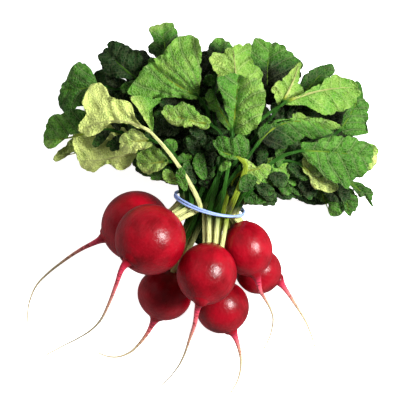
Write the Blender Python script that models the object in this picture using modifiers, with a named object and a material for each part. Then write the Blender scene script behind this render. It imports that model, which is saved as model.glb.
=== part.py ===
"""A bunch of seven radishes, tied with a rubber band and lying on its side.

Frame: +Z up, the bunch rests on Z = 0, the leaves fan out towards +Y and the taproots point to -Y.
Lengths in the tables are millimetres; MM turns them into Blender's metres.
"""

import math

import bmesh
import bpy
import numpy as np
from mathutils import Vector

MM = 0.001
COLLECTION = "bunch_of_radishes"

# ---- Radishes ------------------------------------------------------------------------------------
# Each radish is one body: bulb and taproot. centre is the middle of the bulb, across its radius,
# along its half length, and towards_leaves the direction from the taproot's end to the crown.
# root is the way that the taproot takes from the bulb to its tip.
RADISHES = {
    "a": {
        "centre": (-36.6, -9.4, 19.75), "across": 19.8, "along": 19.4, "towards_leaves": (0.94, 0.32, 0.12),
        "root": ((-58, -17.5, 16.5), (-68, -22.5, 12), (-77, -28.5, 8), (-86, -35.5, 4.5),
                 (-93, -43, 2.4), (-97, -53, 1.6), (-98, -64, 1.3)),
    },
    "b": {
        "centre": (-28.3, -16.2, 58.4), "across": 19.3, "along": 19.2, "towards_leaves": (0.62, 0.60, -0.50),
        "root": ((-43.5, -32, 68), (-46.5, -40, 64), (-50.5, -50, 53), (-55.5, -60, 39),
                 (-61.5, -66.5, 25), (-69, -71.5, 13), (-77.5, -76, 5), (-87.5, -81.5, 1.5)),
    },
    "c": {
        "centre": (2.3, -34.8, 52.9), "across": 16.3, "along": 17.0, "towards_leaves": (0.22, 0.90, -0.36),
        "root": ((-3, -54.5, 55.5), (-4.3, -62, 52.5), (-7.2, -71, 44), (-9.8, -79, 34),
                 (-13, -86, 22), (-17.5, -92.5, 10), (-23, -98.5, 2)),
    },
    "d": {
        "centre": (-20.9, -46.9, 15.0), "across": 15.1, "along": 14.6, "towards_leaves": (0.36, 0.92, 0.14),
        "root": ((-27.2, -62.5, 12), (-30.5, -68.5, 9), (-34.5, -74, 6.2), (-40, -79.5, 3.6),
                 (-46.5, -82.2, 2.2), (-53, -82, 1.6), (-59, -79.8, 1.3)),
    },
    "e": {
        "centre": (11.0, -54.2, 14.85), "across": 14.9, "along": 14.6, "towards_leaves": (-0.37, 0.92, 0.13),
        "root": ((17.3, -69, 12.5), (19.6, -75, 10), (21.2, -82, 7), (21.2, -89, 4.3),
                 (19.4, -96, 2.3), (15.5, -103, 1.4)),
    },
    "f": {
        "centre": (24.7, -21.5, 37.2), "across": 13.5, "along": 15.3, "towards_leaves": (-0.30, 0.94, -0.12),
        "root": ((30.2, -38.8, 38.2), (31.6, -44.5, 34.5), (34.2, -49, 26.5), (37.3, -54.5, 18),
                 (39.2, -60.5, 10.5), (38.6, -67, 5), (36.8, -73, 2.2), (34, -78.5, 1.3)),
    },
    "g": {
        "centre": (30.9, -34.1, 12.75), "across": 12.8, "along": 13.0, "towards_leaves": (-0.89, 0.42, 0.15),
        "root": ((43.8, -41.4, 11), (47.5, -46.5, 9), (52, -53.5, 6.2), (57, -61.5, 3.8),
                 (60.5, -69.5, 2.2), (63, -77.5, 1.3)),
    },
}
BULB_RINGS = 11
BULB_SIDE_POINTS = 4  # a curve's round section has 4 + 2 x this many sides
CROWN_RADIUS = 4.6
ROOT_NECK_RADIUS = 1.9
ROOT_TIP_RADIUS = 0.4

# ---- The tied bundle of leaf stalks --------------------------------------------------------------
# An ellipse of rubber around rows of stalks. "Up" in the band's plane is its short axis.
BAND_CENTRE = Vector((3.8, 3.2, 38.5))
BAND_ACROSS = Vector((0.96, -0.255, -0.10)).normalized()  # the band's long axis
BAND_TILT = math.radians(19)  # the band's top leans towards the bulbs by this much
BAND_HALF_WIDTH = 19.6  # to the middle of the rubber
BAND_HALF_HEIGHT = 14.9
BAND_THICKNESS = 1.6
BAND_POINTS = 36
# Which radish each stalk in the bundle comes from, top row first, left to right.
BUNDLE_ROWS = ("BBCCC", "BBCCCF", "ABDEEFF", "AADDEFF", "ADDEGG", "ADDEG")
STALK_PITCH = 5.2
ROW_PITCH = 3.7

# ---- Leaves --------------------------------------------------------------------------------------
STALK_WIDTH = 3.0
STALK_THICKNESS = 2.2
CROWN_SHRINK = 0.70  # the stalks leave their crown in the pattern that they have in the band, this much smaller
CROWN_NARROWING = 0.72
CROWN_GAP = 0.8
LEAVING, ARRIVING = 0.5, 0.5  # how long a stalk keeps the direction of its crown and of the bundle
BLADE_THICKNESS = 1.1
BLADE_TIP_WIDTH = 2.5
STALK_STEPS_BEFORE_BAND = 4
STALK_STEPS_AFTER_BAND = 4
BLADE_STEPS = (0.0, 0.10, 0.26, 0.44, 0.62, 0.78, 0.91, 1.0)
ACROSS_STEPS = (-1.0, -0.5, 0.0, 0.5, 1.0)
MARGIN_WAVES = 1.6  # waves along each side of a blade
GOLDEN_ANGLE = 2.39996

# One row of the table for each row of the bundle, top row first. A leaf is
# (base x, y, z), (tip x, y, z), bow, arch, widest, (left half width, edge height), (right ...), wave.
# The blade's midrib runs from base to tip, bowed to its left by bow and raised by arch in its middle.
# widest is where the blade is widest, as a share of its length, and the half widths are seen from
# above. An edge height is how far that margin stands above the midrib, and wave the ruffle's height.
LEAVES = (
    (  # lying on top
        ((-27, 38, 49), (-47, 36.5, 40), 0, 2, 0.60, (7, -2), (7, -2), 1.0),
        ((-27, 41.5, 53), (-66.5, 43, 41), -6, 3, 0.66, (5, -4), (20, -4), 1.6),
        ((6, 46, 53), (-23.5, 54, 49), 1, 3, 0.60, (8.5, -4), (8.5, -3), 1.0),
        ((16.5, 43, 54), (19.5, 73, 48), 0, 4, 0.55, (14.5, 4), (14.5, 3), 1.6),
        ((21, 28, 51), (4.5, 34.5, 48), 1, 2, 0.50, (5, -2), (5, -2), 0.6),
    ),
    (
        ((21, 20.5, 51.5), (36, 23, 48), 0, 2, 0.55, (7.5, -2), (7.5, -4), 0.6),
        ((-18, 27, 40), (-37, 25.5, 30), 1, 2, 0.60, (8, -3), (8, -2), 1.0),
        ((20, 54, 46), (16.5, 90.5, 41), 0, 4, 0.60, (13.5, -2), (13.5, -4), 1.4),
        ((44, 58, 45.5), (82, 67, 32), 2, 4, 0.60, (10, -3), (10.5, -3), 1.2),
        ((28, 33, 49), (67, 44, 37), 9, 6, 0.50, (8, -3), (9, -8), 1.2),
        ((52, 32, 46.5), (94, 28, 30), 1, 5, 0.55, (9.5, -4), (14.5, -5), 1.6),
    ),
    (
        ((-61, 44, 22), (-88, 39, 10), 2, 3, 0.60, (11.5, -3), (11.5, -2), 1.5),
        ((-2, 62, 42), (-27, 79, 35), 2, 4, 0.78, (24, -7), (22, -6), 2.0),
        ((33, 27, 34), (46, 21, 27), 0, 2, 0.55, (7, -2), (7, -3), 0.8),
        ((16, 42, 42), (1.5, 65, 40), -1, 1, 0.55, (4, 2), (4, -2), 0.6),
        ((43, 57.5, 40), (53, 80.5, 36), -1, 2, 0.42, (8, 2), (7, -4), 0.8),
        ((74, 42, 30), (88.5, 67, 18), -1, 3, 0.58, (8.5, -3), (8.5, -3), 1.2),
        ((52, 26, 40), (73, 10.5, 30), -1, 3, 0.55, (7.5, -2), (7, -3), 1.0),
    ),
    (
        ((-57, 69, 19), (-80.5, 66.5, 8), 1, 3, 0.60, (13.5, -3), (14.5, -3), 1.6),
        ((-34, 33, 31), (-69, 27, 18), 2, 4, 0.60, (11.5, -4), (11, -3), 2.0),
        ((-34, 70, 25), (-55, 90, 11), 1, 3, 0.62, (11.5, -4), (10.5, -4), 1.6),
        ((-18, 80, 24), (-22, 103, 12), 1, 3, 0.60, (8, -3), (8.5, -3), 1.4),
        ((7, 74, 29), (10.5, 95.5, 15), -1, 2, 0.45, (8, -3), (8, -3), 1.2),
        ((73, 33, 23), (97.5, 32, 11), 1, 3, 0.60, (8, -2), (8, -2), 1.2),
        ((78, 17, 19), (95, -1, 6), 2, 2, 0.45, (6, -2), (5.5, -2), 0.8),
    ),
    (
        ((-51, 38, 16), (-83.5, 28.5, 4), 1, 2, 0.55, (6.5, -2), (7, -2), 1.0),
        ((-24, 68, 22), (-41.5, 86.5, 9), 0, 3, 0.60, (9, -3), (9, -3), 1.2),
        ((-1, 62, 24), (-6, 88, 9), 1, 3, 0.55, (11, -3), (11, -3), 1.4),
        ((54, 61, 28), (72.5, 81, 16), 1, 2, 0.60, (5.5, 1), (5.5, 1), 0.6),
        ((64, 13, 18), (71.5, -3.5, 5), 0, 2, 0.55, (5.5, -2), (5.5, -2), 0.8),
        ((77, 14, 14), (82, -3.5, 4), 0, 2, 0.55, (5, -2), (5, -2), 0.8),
    ),
    (  # lying on the table
        ((-35, 52, 17), (-64, 62, 3), 1, 4, 0.60, (13, -4), (13, -4), 1.4),
        ((8, 56, 19), (11, 80, 3), 1, 4, 0.60, (13, -4), (13, -4), 1.4),
        ((36, 63, 19), (38, 93, 4), 1, 4, 0.60, (14, -5), (15, -6), 1.8),
        ((53, 44, 17), (82, 46, 3), 1, 4, 0.60, (14, -4), (13, -4), 1.4),
        ((29, 13, 17), (69, 5, 3), 1, 2, 0.60, (5, -2), (5, -2), 0.8),
    ),
)

# ---- Stacking ------------------------------------------------------------------------------------
LEAF_GAP = 0.6  # between one leaf and the next above it
FLOOR_GAP = 0.3
CELL = 1.0
MAP_HALF = 125
SAMPLES_PER_EDGE = 9
RELAX_STEPS = 60

COLOURS = {
    "skin": (0.50, 0.006, 0.022, 1.0),
    "leaf": (0.10, 0.27, 0.035, 1.0),
    "rubber": (0.10, 0.20, 0.55, 1.0),
}


def clear_scene():
    for obj in list(bpy.data.objects):
        bpy.data.objects.remove(obj)


def material(name, roughness):
    made = bpy.data.materials.new(name)
    made.use_nodes = True
    shader = made.node_tree.nodes["Principled BSDF"]
    shader.inputs["Base Color"].default_value = COLOURS[name]
    shader.inputs["Roughness"].default_value = roughness
    shader.inputs["Metallic"].default_value = 0.0
    return made


def tube(name, points, radii, collection, finish, side_points, cyclic=False):
    """A round tube through points (mm) whose section follows radii (mm)."""
    curve = bpy.data.curves.new(name, "CURVE")
    curve.dimensions = "3D"
    curve.bevel_depth = MM
    curve.bevel_resolution = side_points
    curve.use_fill_caps = not cyclic
    spline = curve.splines.new("POLY")
    spline.points.add(len(points) - 1)
    spline.use_cyclic_u = cyclic
    for place, point, radius in zip(spline.points, points, radii):
        place.co = (*(Vector(point) * MM), 1.0)
        place.radius = radius
    obj = bpy.data.objects.new(name, curve)
    obj.data.materials.append(finish)
    collection.objects.link(obj)
    return obj


def bulb_outline(across, along):
    """(distance from the bulb's middle towards the root, radius) at each ring, crown first."""
    rings = []
    for k in range(BULB_RINGS):
        turn = math.pi * (k + 0.9) / (BULB_RINGS + 0.6)
        rings.append((-along * math.cos(turn), across * math.sin(turn)))
    rings[0] = (-along, CROWN_RADIUS)
    return rings


def radish(letter, collection, finish):
    facts = RADISHES[letter]
    centre = Vector(facts["centre"])
    rootwards = -Vector(facts["towards_leaves"]).normalized()
    points, radii = [], []
    for distance, radius in bulb_outline(facts["across"], facts["along"]):
        points.append(centre + rootwards * distance)
        radii.append(radius)
    route = facts["root"]
    for k, point in enumerate(route):
        share = k / (len(route) - 1)
        points.append(Vector(point))
        radii.append(ROOT_NECK_RADIUS * (1 - share) ** 2.2 + ROOT_TIP_RADIUS)
    return tube("radish_" + letter, points, radii, collection, finish, BULB_SIDE_POINTS)


def band_axes():
    """(across, up, along) of the tied bundle; along points to the leaves."""
    leaning = Vector((0, -math.sin(BAND_TILT), math.cos(BAND_TILT)))
    up = (leaning - BAND_ACROSS * leaning.dot(BAND_ACROSS)).normalized()
    return BAND_ACROSS, up, up.cross(BAND_ACROSS)


def rubber_band(collection, finish):
    across, up, _ = band_axes()
    points = []
    for k in range(BAND_POINTS):
        turn = 2 * math.pi * k / BAND_POINTS
        points.append(
            BAND_CENTRE
            + across * (BAND_HALF_WIDTH * math.cos(turn))
            + up * (BAND_HALF_HEIGHT * math.sin(turn))
        )
    radii = [BAND_THICKNESS / 2] * BAND_POINTS
    return tube("rubber_band", points, radii, collection, finish, 1, cyclic=True)


def bundle_slots():
    """For each row, top first: a list of (radish letter, across, up) in the band's plane, left to right."""
    rows = []
    for row, letters in enumerate(BUNDLE_ROWS):
        up = ROW_PITCH * ((len(BUNDLE_ROWS) - 1) / 2 - row)
        first = -STALK_PITCH * (len(letters) - 1) / 2
        rows.append([(letter.lower(), first + STALK_PITCH * k, up) for k, letter in enumerate(letters)])
    return rows


def crown_offsets(slots):
    """Where each slot's stalk leaves its crown: {(row, place): (across, up) from the crown's middle}."""
    offsets = {}
    for letter in RADISHES:
        mine = [
            (row, k, across, up)
            for row, places in enumerate(slots)
            for k, (owner, across, up) in enumerate(places)
            if owner == letter
        ]
        middle_across = sum(m[2] for m in mine) / len(mine)
        middle_up = sum(m[3] for m in mine) / len(mine)
        for row, k, across, up in mine:
            offsets[(row, k)] = ((across - middle_across) * CROWN_SHRINK, (up - middle_up) * CROWN_SHRINK)
    return offsets


def crown_point(letter, offset):
    """Where a stalk starts at the crown, and the direction in which it leaves."""
    facts = RADISHES[letter]
    axis = Vector(facts["towards_leaves"]).normalized()
    side = (BAND_ACROSS - axis * BAND_ACROSS.dot(axis)).normalized()
    over = side.cross(axis)
    top = Vector(facts["centre"]) + axis * (facts["along"] + CROWN_GAP)
    return top + side * offset[0] + over * offset[1], axis


def hermite(start, start_way, end, end_way, share):
    """A point on the smooth curve from start to end that leaves and arrives along the two ways."""
    square, cube = share * share, share**3
    return (
        start * (2 * cube - 3 * square + 1)
        + start_way * (cube - 2 * square + share)
        + end * (3 * square - 2 * cube)
        + end_way * (cube - square)
    )


def blade_midrib(leaf, share):
    base, tip, bow, arch = Vector(leaf[0]), Vector(leaf[1]), leaf[2], leaf[3]
    left = Vector((base.y - tip.y, tip.x - base.x, 0)).normalized()
    bump = 4 * share * (1 - share)
    return base.lerp(tip, share) + left * (bow * bump) + Vector((0, 0, arch * bump))


def blade_outline(share, widest):
    """Half width as a share of the greatest one."""
    if share < widest:
        return 0.12 + 0.88 * math.sin(math.pi / 2 * share / widest) ** 1.15
    return math.sqrt(max(0.0, 1 - ((share - widest) / (1 - widest)) ** 2.2))


def midline(leaf, slot_point, crown, crown_way):
    """The leaf's middle line from the crown to the tip: (points, index of the point at the band)."""
    _, _, along = band_axes()
    before = (slot_point - crown).length
    points = [
        hermite(crown, crown_way * before * LEAVING, slot_point, along * before * ARRIVING, k / STALK_STEPS_BEFORE_BAND)
        for k in range(STALK_STEPS_BEFORE_BAND)
    ]
    base = Vector(leaf[0])
    after = (base - slot_point).length
    blade_way = (blade_midrib(leaf, 0.1) - base).normalized()
    points += [
        hermite(slot_point, along * after * 0.8, base, blade_way * after * 0.7, k / STALK_STEPS_AFTER_BAND)
        for k in range(STALK_STEPS_AFTER_BAND)
    ]
    points += [blade_midrib(leaf, share) for share in BLADE_STEPS]
    return points, STALK_STEPS_BEFORE_BAND


def stalk_share(ring):
    """The stalk's size at a ring as a share of its full one: it narrows towards the crown."""
    return CROWN_NARROWING + (1 - CROWN_NARROWING) * min(1, ring / STALK_STEPS_BEFORE_BAND)


def leaf_grid(leaf, points, phase):
    """The leaf's middle surface: an array of points, rings along the leaf by places across it."""
    stalk_rings = len(points) - len(BLADE_STEPS)
    (left_half, left_edge), (right_half, right_edge), wave = leaf[5], leaf[6], leaf[7]
    grid = np.zeros((len(points), len(ACROSS_STEPS), 3))
    for ring, point in enumerate(points):
        ahead = points[min(ring + 1, len(points) - 1)] - points[max(ring - 1, 0)]
        left = Vector((-ahead.y, ahead.x, 0)).normalized()
        share = BLADE_STEPS[ring - stalk_rings] if ring >= stalk_rings else 0.0
        full = blade_outline(share, leaf[4]) if ring >= stalk_rings else 0.0
        for place, across in enumerate(ACROSS_STEPS):
            half, edge = (left_half, left_edge) if across < 0 else (right_half, right_edge)
            least = BLADE_TIP_WIDTH / 2 if share > 0.5 else STALK_WIDTH / 2 * stalk_share(ring)
            width = max(least, half * full)
            rise = 0.0
            if width > least:
                ruffle = wave * math.sin(2 * math.pi * MARGIN_WAVES * share + phase + across)
                rise = (edge * full + ruffle * full) * abs(across) ** 1.6
            spot = point - left * (width * across) + Vector((0, 0, rise))
            grid[ring, place] = spot
    return grid


def grid_triangles(rings, places):
    """Two triangles for each cell of a leaf's grid, as the mesh has them."""
    found = []
    for ring in range(rings - 1):
        for place in range(places - 1):
            a, b = ring * places + place, ring * places + place + 1
            c, d = a + places, b + places
            found += [(a, b, d), (a, d, c)]
    return np.array(found)


def barycentric_samples(count):
    steps = np.linspace(0, 1, count)
    return np.array([(a, b, 1 - a - b) for a in steps for b in steps if a + b <= 1 + 1e-9])


def half_thickness(rings, places, stalk_rings, weights, triangles, spots):
    """Half of the leaf's thickness, measured straight up, at each sample of each triangle."""
    at_ring = [STALK_THICKNESS * stalk_share(k) if k < stalk_rings else BLADE_THICKNESS for k in range(rings)]
    at_spot = np.repeat(at_ring, places) / 2
    corners = spots[triangles]
    facing = np.cross(corners[:, 1] - corners[:, 0], corners[:, 2] - corners[:, 0])
    upright = np.abs(facing[:, 2]) / np.linalg.norm(facing, axis=1)
    return np.einsum("sw,tw->ts", weights, at_spot[triangles]) / np.maximum(upright, 0.5)[:, None]


def raise_clear(grid, fixed_rings, stalk_rings, heights):
    """Raises a leaf until it lies on what is below it, as a sheet would, and adds it to the heights."""
    rings, places, _ = grid.shape
    triangles = grid_triangles(rings, places)
    weights = barycentric_samples(SAMPLES_PER_EDGE)
    spots = grid.reshape(-1, 3)
    samples = np.einsum("sw,twc->tsc", weights, spots[triangles])
    half = half_thickness(rings, places, stalk_rings, weights, triangles, spots)
    cells = np.clip(np.round(samples[..., :2] / CELL).astype(int) + MAP_HALF, 1, 2 * MAP_HALF - 2)
    below = heights[cells[..., 0], cells[..., 1]]
    need = np.maximum(below + LEAF_GAP, FLOOR_GAP) + half - samples[..., 2]
    need = np.maximum(need.max(axis=1), 0)
    least = np.zeros(len(spots))
    for corner in range(3):
        np.maximum.at(least, triangles[:, corner], need)
    least = least.reshape(rings, places)
    least[:fixed_rings] = 0
    lift = least.copy()
    for _ in range(RELAX_STEPS):
        padded = np.pad(lift, 1, mode="edge")
        around = (padded[:-2, 1:-1] + padded[2:, 1:-1] + padded[1:-1, :-2] + padded[1:-1, 2:]) / 4
        lift = np.maximum(least, around)
        lift[:fixed_rings] = 0
    grid[..., 2] += lift
    samples = np.einsum("sw,twc->tsc", weights, grid.reshape(-1, 3)[triangles])
    half = half_thickness(rings, places, stalk_rings, weights, triangles, grid.reshape(-1, 3))
    for step_x in (-1, 0, 1):
        for step_y in (-1, 0, 1):
            np.maximum.at(heights, (cells[..., 0] + step_x, cells[..., 1] + step_y), samples[..., 2] + half)


def leaf_object(name, grid, stalk_rings, collection, finish):
    """A leaf as one solid: the grid as an open surface, made thick, with a thicker stalk."""
    rings, places, _ = grid.shape
    mesh = bmesh.new()
    bmesh.ops.create_grid(mesh, x_segments=rings - 1, y_segments=places - 1, size=0.5)
    mesh.verts.ensure_lookup_table()
    ordered = sorted(mesh.verts, key=lambda v: (round(v.co.x, 4), round(v.co.y, 4)))
    for vertex, spot in zip(ordered, grid.reshape(-1, 3)):
        vertex.co = Vector(spot) * MM
    for index, vertex in enumerate(ordered):
        vertex.index = index
    mesh.verts.sort()
    for face in mesh.faces[:]:
        corners = sorted(face.verts, key=lambda v: v.index)
        bmesh.utils.face_split(face, corners[0], corners[3])
    bmesh.ops.recalc_face_normals(mesh, faces=mesh.faces)
    data = bpy.data.meshes.new(name)
    mesh.to_mesh(data)
    mesh.free()
    data.materials.append(finish)
    obj = bpy.data.objects.new(name, data)
    collection.objects.link(obj)
    group = obj.vertex_groups.new(name="thickness")
    for index in range(rings * places):
        ring = index // places
        weight = stalk_share(ring) if ring < stalk_rings else BLADE_THICKNESS / STALK_THICKNESS
        group.add([index], weight, "REPLACE")
    thick = obj.modifiers.new("thickness", "SOLIDIFY")
    thick.thickness = STALK_THICKNESS * MM
    thick.offset = 0.0
    thick.vertex_group = group.name
    return obj


def departure(leaf):
    """The direction, seen from above, in which a leaf's base lies from the band."""
    return math.atan2(leaf[0][1] - BAND_CENTRE.y, leaf[0][0] - BAND_CENTRE.x)


def leaves(collection, finish):
    across_way, up_way, _ = band_axes()
    slots = bundle_slots()
    offsets = crown_offsets(slots)
    heights = np.full((2 * MAP_HALF, 2 * MAP_HALF), -1e3)
    numbers = dict.fromkeys(RADISHES, 0)
    stalk_rings = STALK_STEPS_BEFORE_BAND + STALK_STEPS_AFTER_BAND
    made = 0
    for row in reversed(range(len(LEAVES))):
        by_side = sorted(range(len(LEAVES[row])), key=lambda k: -departure(LEAVES[row][k]))
        for k, leaf in enumerate(LEAVES[row]):
            place = by_side.index(k)
            letter, across, up = slots[row][place]
            slot_point = BAND_CENTRE + across_way * across + up_way * up
            crown, crown_way = crown_point(letter, offsets[(row, place)])
            points, band_ring = midline(leaf, slot_point, crown, crown_way)
            grid = leaf_grid(leaf, points, GOLDEN_ANGLE * made)
            raise_clear(grid, band_ring + 1, stalk_rings, heights)
            numbers[letter] += 1
            made += 1
            leaf_object(f"leaf_{letter}{numbers[letter]}", grid, stalk_rings, collection, finish)


def main():
    clear_scene()
    collection = bpy.data.collections.new(COLLECTION)
    bpy.context.scene.collection.children.link(collection)
    skin, green, rubber = material("skin", 0.3), material("leaf", 0.5), material("rubber", 0.6)
    for letter in RADISHES:
        radish(letter, collection, skin)
    rubber_band(collection, rubber)
    leaves(collection, green)


main()
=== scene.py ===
# %% [markdown]
# # A bunch of radishes
# Seven round red radishes, with their leaves and taproots, are tied with a rubber band and lie on
# their side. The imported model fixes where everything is. This script replaces its plain solids with
# finished ones: turned and bent radishes, thin crinkled leaves on ribbed stalks, and a rubber band.
# Lengths are written in millimetres, and MM turns them into Blender's metres.

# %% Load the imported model
import math
import random

import bmesh
import bpy
import numpy as np
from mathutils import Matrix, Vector, noise
from mathutils.bvhtree import BVHTree


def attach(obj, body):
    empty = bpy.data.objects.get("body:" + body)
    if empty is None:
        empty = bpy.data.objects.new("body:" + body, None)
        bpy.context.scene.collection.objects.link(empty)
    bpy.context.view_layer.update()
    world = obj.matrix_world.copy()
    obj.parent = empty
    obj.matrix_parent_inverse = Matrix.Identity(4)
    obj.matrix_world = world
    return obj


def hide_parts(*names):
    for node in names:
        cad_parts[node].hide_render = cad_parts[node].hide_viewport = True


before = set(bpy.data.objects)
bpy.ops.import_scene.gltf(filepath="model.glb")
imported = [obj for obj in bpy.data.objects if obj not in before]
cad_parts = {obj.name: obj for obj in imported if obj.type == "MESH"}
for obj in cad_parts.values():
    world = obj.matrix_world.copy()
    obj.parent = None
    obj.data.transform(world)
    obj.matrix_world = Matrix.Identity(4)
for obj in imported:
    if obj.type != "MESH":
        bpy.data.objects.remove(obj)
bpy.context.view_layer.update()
MM = 0.001

# %% [markdown]
# ## Camera
# The bunch lies down and is looked at from straight above. A long lens, far away, keeps the bulbs
# that are near the camera from looking too large beside the leaves below them.

# %% Camera
VIEW_CENTRE = Vector((-1.4, 5.2, 30.0)) * MM
VIEW_WIDTH = 220 * MM
LENS = 300.0  # mm, on Blender's 36 mm sensor

camera = bpy.data.objects.new("camera", bpy.data.cameras.new("camera"))
camera.data.lens = LENS
camera.location = VIEW_CENTRE + Vector((0, 0, VIEW_WIDTH * LENS / camera.data.sensor_width))
bpy.context.scene.collection.objects.link(camera)
bpy.context.scene.camera = camera
print("camera height:", round(camera.location.z, 2), "m")

# %% [markdown]
# ## Light
# The light is that of a white room: a little comes from everywhere, and a round soft lamp on the
# right gives each bulb its highlight and shades the folds of the leaves. A weak, wide lamp opposite
# lifts the shadows. It isn't mirrored, because it would veil the dark leaves and the red skin.

# %% Room and lamps
ROOM_STRENGTH = 0.14
LAMP_DISTANCE = 1.1
KEY_WAY = Vector((0.62, 0.17, 0.77)).normalized()
KEY_SIZE, KEY_POWER = 0.42, 30.0
FILL_WAY = Vector((-0.5, 0.5, 0.7)).normalized()
FILL_SIZE, FILL_POWER = 0.9, 3.6

bpy.context.scene.view_settings.view_transform = "Standard"
world = bpy.data.worlds.new("white_room")
world.use_nodes = True
world.node_tree.nodes["Background"].inputs["Color"].default_value = (1, 1, 1, 1)
world.node_tree.nodes["Background"].inputs["Strength"].default_value = ROOM_STRENGTH
bpy.context.scene.world = world


def soft_lamp(name, way, size, power):
    """A round lamp that shines on the bunch from way."""
    lamp = bpy.data.objects.new(name, bpy.data.lights.new(name, "AREA"))
    lamp.data.shape = "DISK"
    lamp.data.size = size
    lamp.data.energy = power
    lamp.location = VIEW_CENTRE + way * LAMP_DISTANCE
    lamp.rotation_euler = way.to_track_quat("Z", "Y").to_euler()
    bpy.context.scene.collection.objects.link(lamp)
    return lamp


soft_lamp("key_lamp", KEY_WAY, KEY_SIZE, KEY_POWER)
fill = soft_lamp("fill_lamp", FILL_WAY, FILL_SIZE, FILL_POWER)
fill.visible_glossy = False
print("lamps:", KEY_POWER, "W and", FILL_POWER, "W")

# %% [markdown]
# ## Colours and nodes
# Colours are written as sRGB hex, as a painter would read them off a swatch, and one function turns
# them into the linear values that a shader needs. One more function adds a node with its settings.

# %% Colour and node helpers
FACTOR, COLOUR_A, COLOUR_B, MIXED = 0, 6, 7, 2  # sockets of a Mix node that mixes colours


def linear(swatch):
    """An sRGB hex colour as linear RGBA."""
    parts = [int(swatch[k : k + 2], 16) / 255 for k in (1, 3, 5)]
    return (*(p / 12.92 if p <= 0.04045 else ((p + 0.055) / 1.055) ** 2.4 for p in parts), 1.0)


def add_node(tree, kind, inputs=(), **settings):
    """A new node. inputs maps a socket to its value, or to the socket that feeds it."""
    made = tree.nodes.new("ShaderNode" + kind)
    for name, value in settings.items():
        setattr(made, name, value)
    for socket, value in dict(inputs).items():
        if isinstance(value, bpy.types.NodeSocket):
            tree.links.new(value, made.inputs[socket])
        else:
            made.inputs[socket].default_value = value
    return made


def new_finish(name):
    """An empty material: (material, its tree, its Principled shader)."""
    finish = bpy.data.materials.new(name)
    finish.use_nodes = True
    return finish, finish.node_tree, finish.node_tree.nodes["Principled BSDF"]


print("mid grey is linear", round(linear("#808080")[0], 3))

# %% [markdown]
# ## Floor
# The floor is the opal acrylic top of a light table, sawn and polished flat and lit from below. The
# glow washes out most of the shadows and puts a pale rim on each bulb. It isn't mirrored, so that
# the pieces get their gloss from the lamp and the room only.

# %% Floor
FLOOR_SIZE = 3.0
FLOOR_GLOW = 0.92


def opal_acrylic():
    finish, tree, shader = new_finish("opal_acrylic")
    place = add_node(tree, "TexCoord").outputs["Object"]
    grain = add_node(tree, "TexNoise", {"Vector": place, "Scale": 400.0})
    rough = add_node(tree, "MapRange", {0: grain.outputs[0], 3: 0.75, 4: 0.9})
    tree.links.new(rough.outputs[0], shader.inputs["Roughness"])
    shader.inputs["Base Color"].default_value = linear("#fbfbfb")
    shader.inputs["Specular IOR Level"].default_value = 0.1
    shader.inputs["Emission Color"].default_value = (1, 1, 1, 1)
    shader.inputs["Emission Strength"].default_value = FLOOR_GLOW
    return finish


def as_piece(name, shape, finish):
    """A finished bmesh as a smooth object in the scene, with its material."""
    piece = bpy.data.objects.new(name, bpy.data.meshes.new(name))
    shape.to_mesh(piece.data)
    shape.free()
    piece.data.materials.append(finish)
    piece.data.shade_smooth()
    bpy.context.scene.collection.objects.link(piece)
    return piece


shape = bmesh.new()
bmesh.ops.create_grid(shape, x_segments=4, y_segments=4, size=FLOOR_SIZE / 2)
floor = as_piece("floor", shape, opal_acrylic())
floor.visible_glossy = False
print("floor:", FLOOR_SIZE, "m wide")

# %% [markdown]
# ## The radishes' places
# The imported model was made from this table. centre is the middle of a bulb, across its radius, along
# its half length, towards_leaves the way to its crown, and root the way that its taproot takes.

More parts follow.
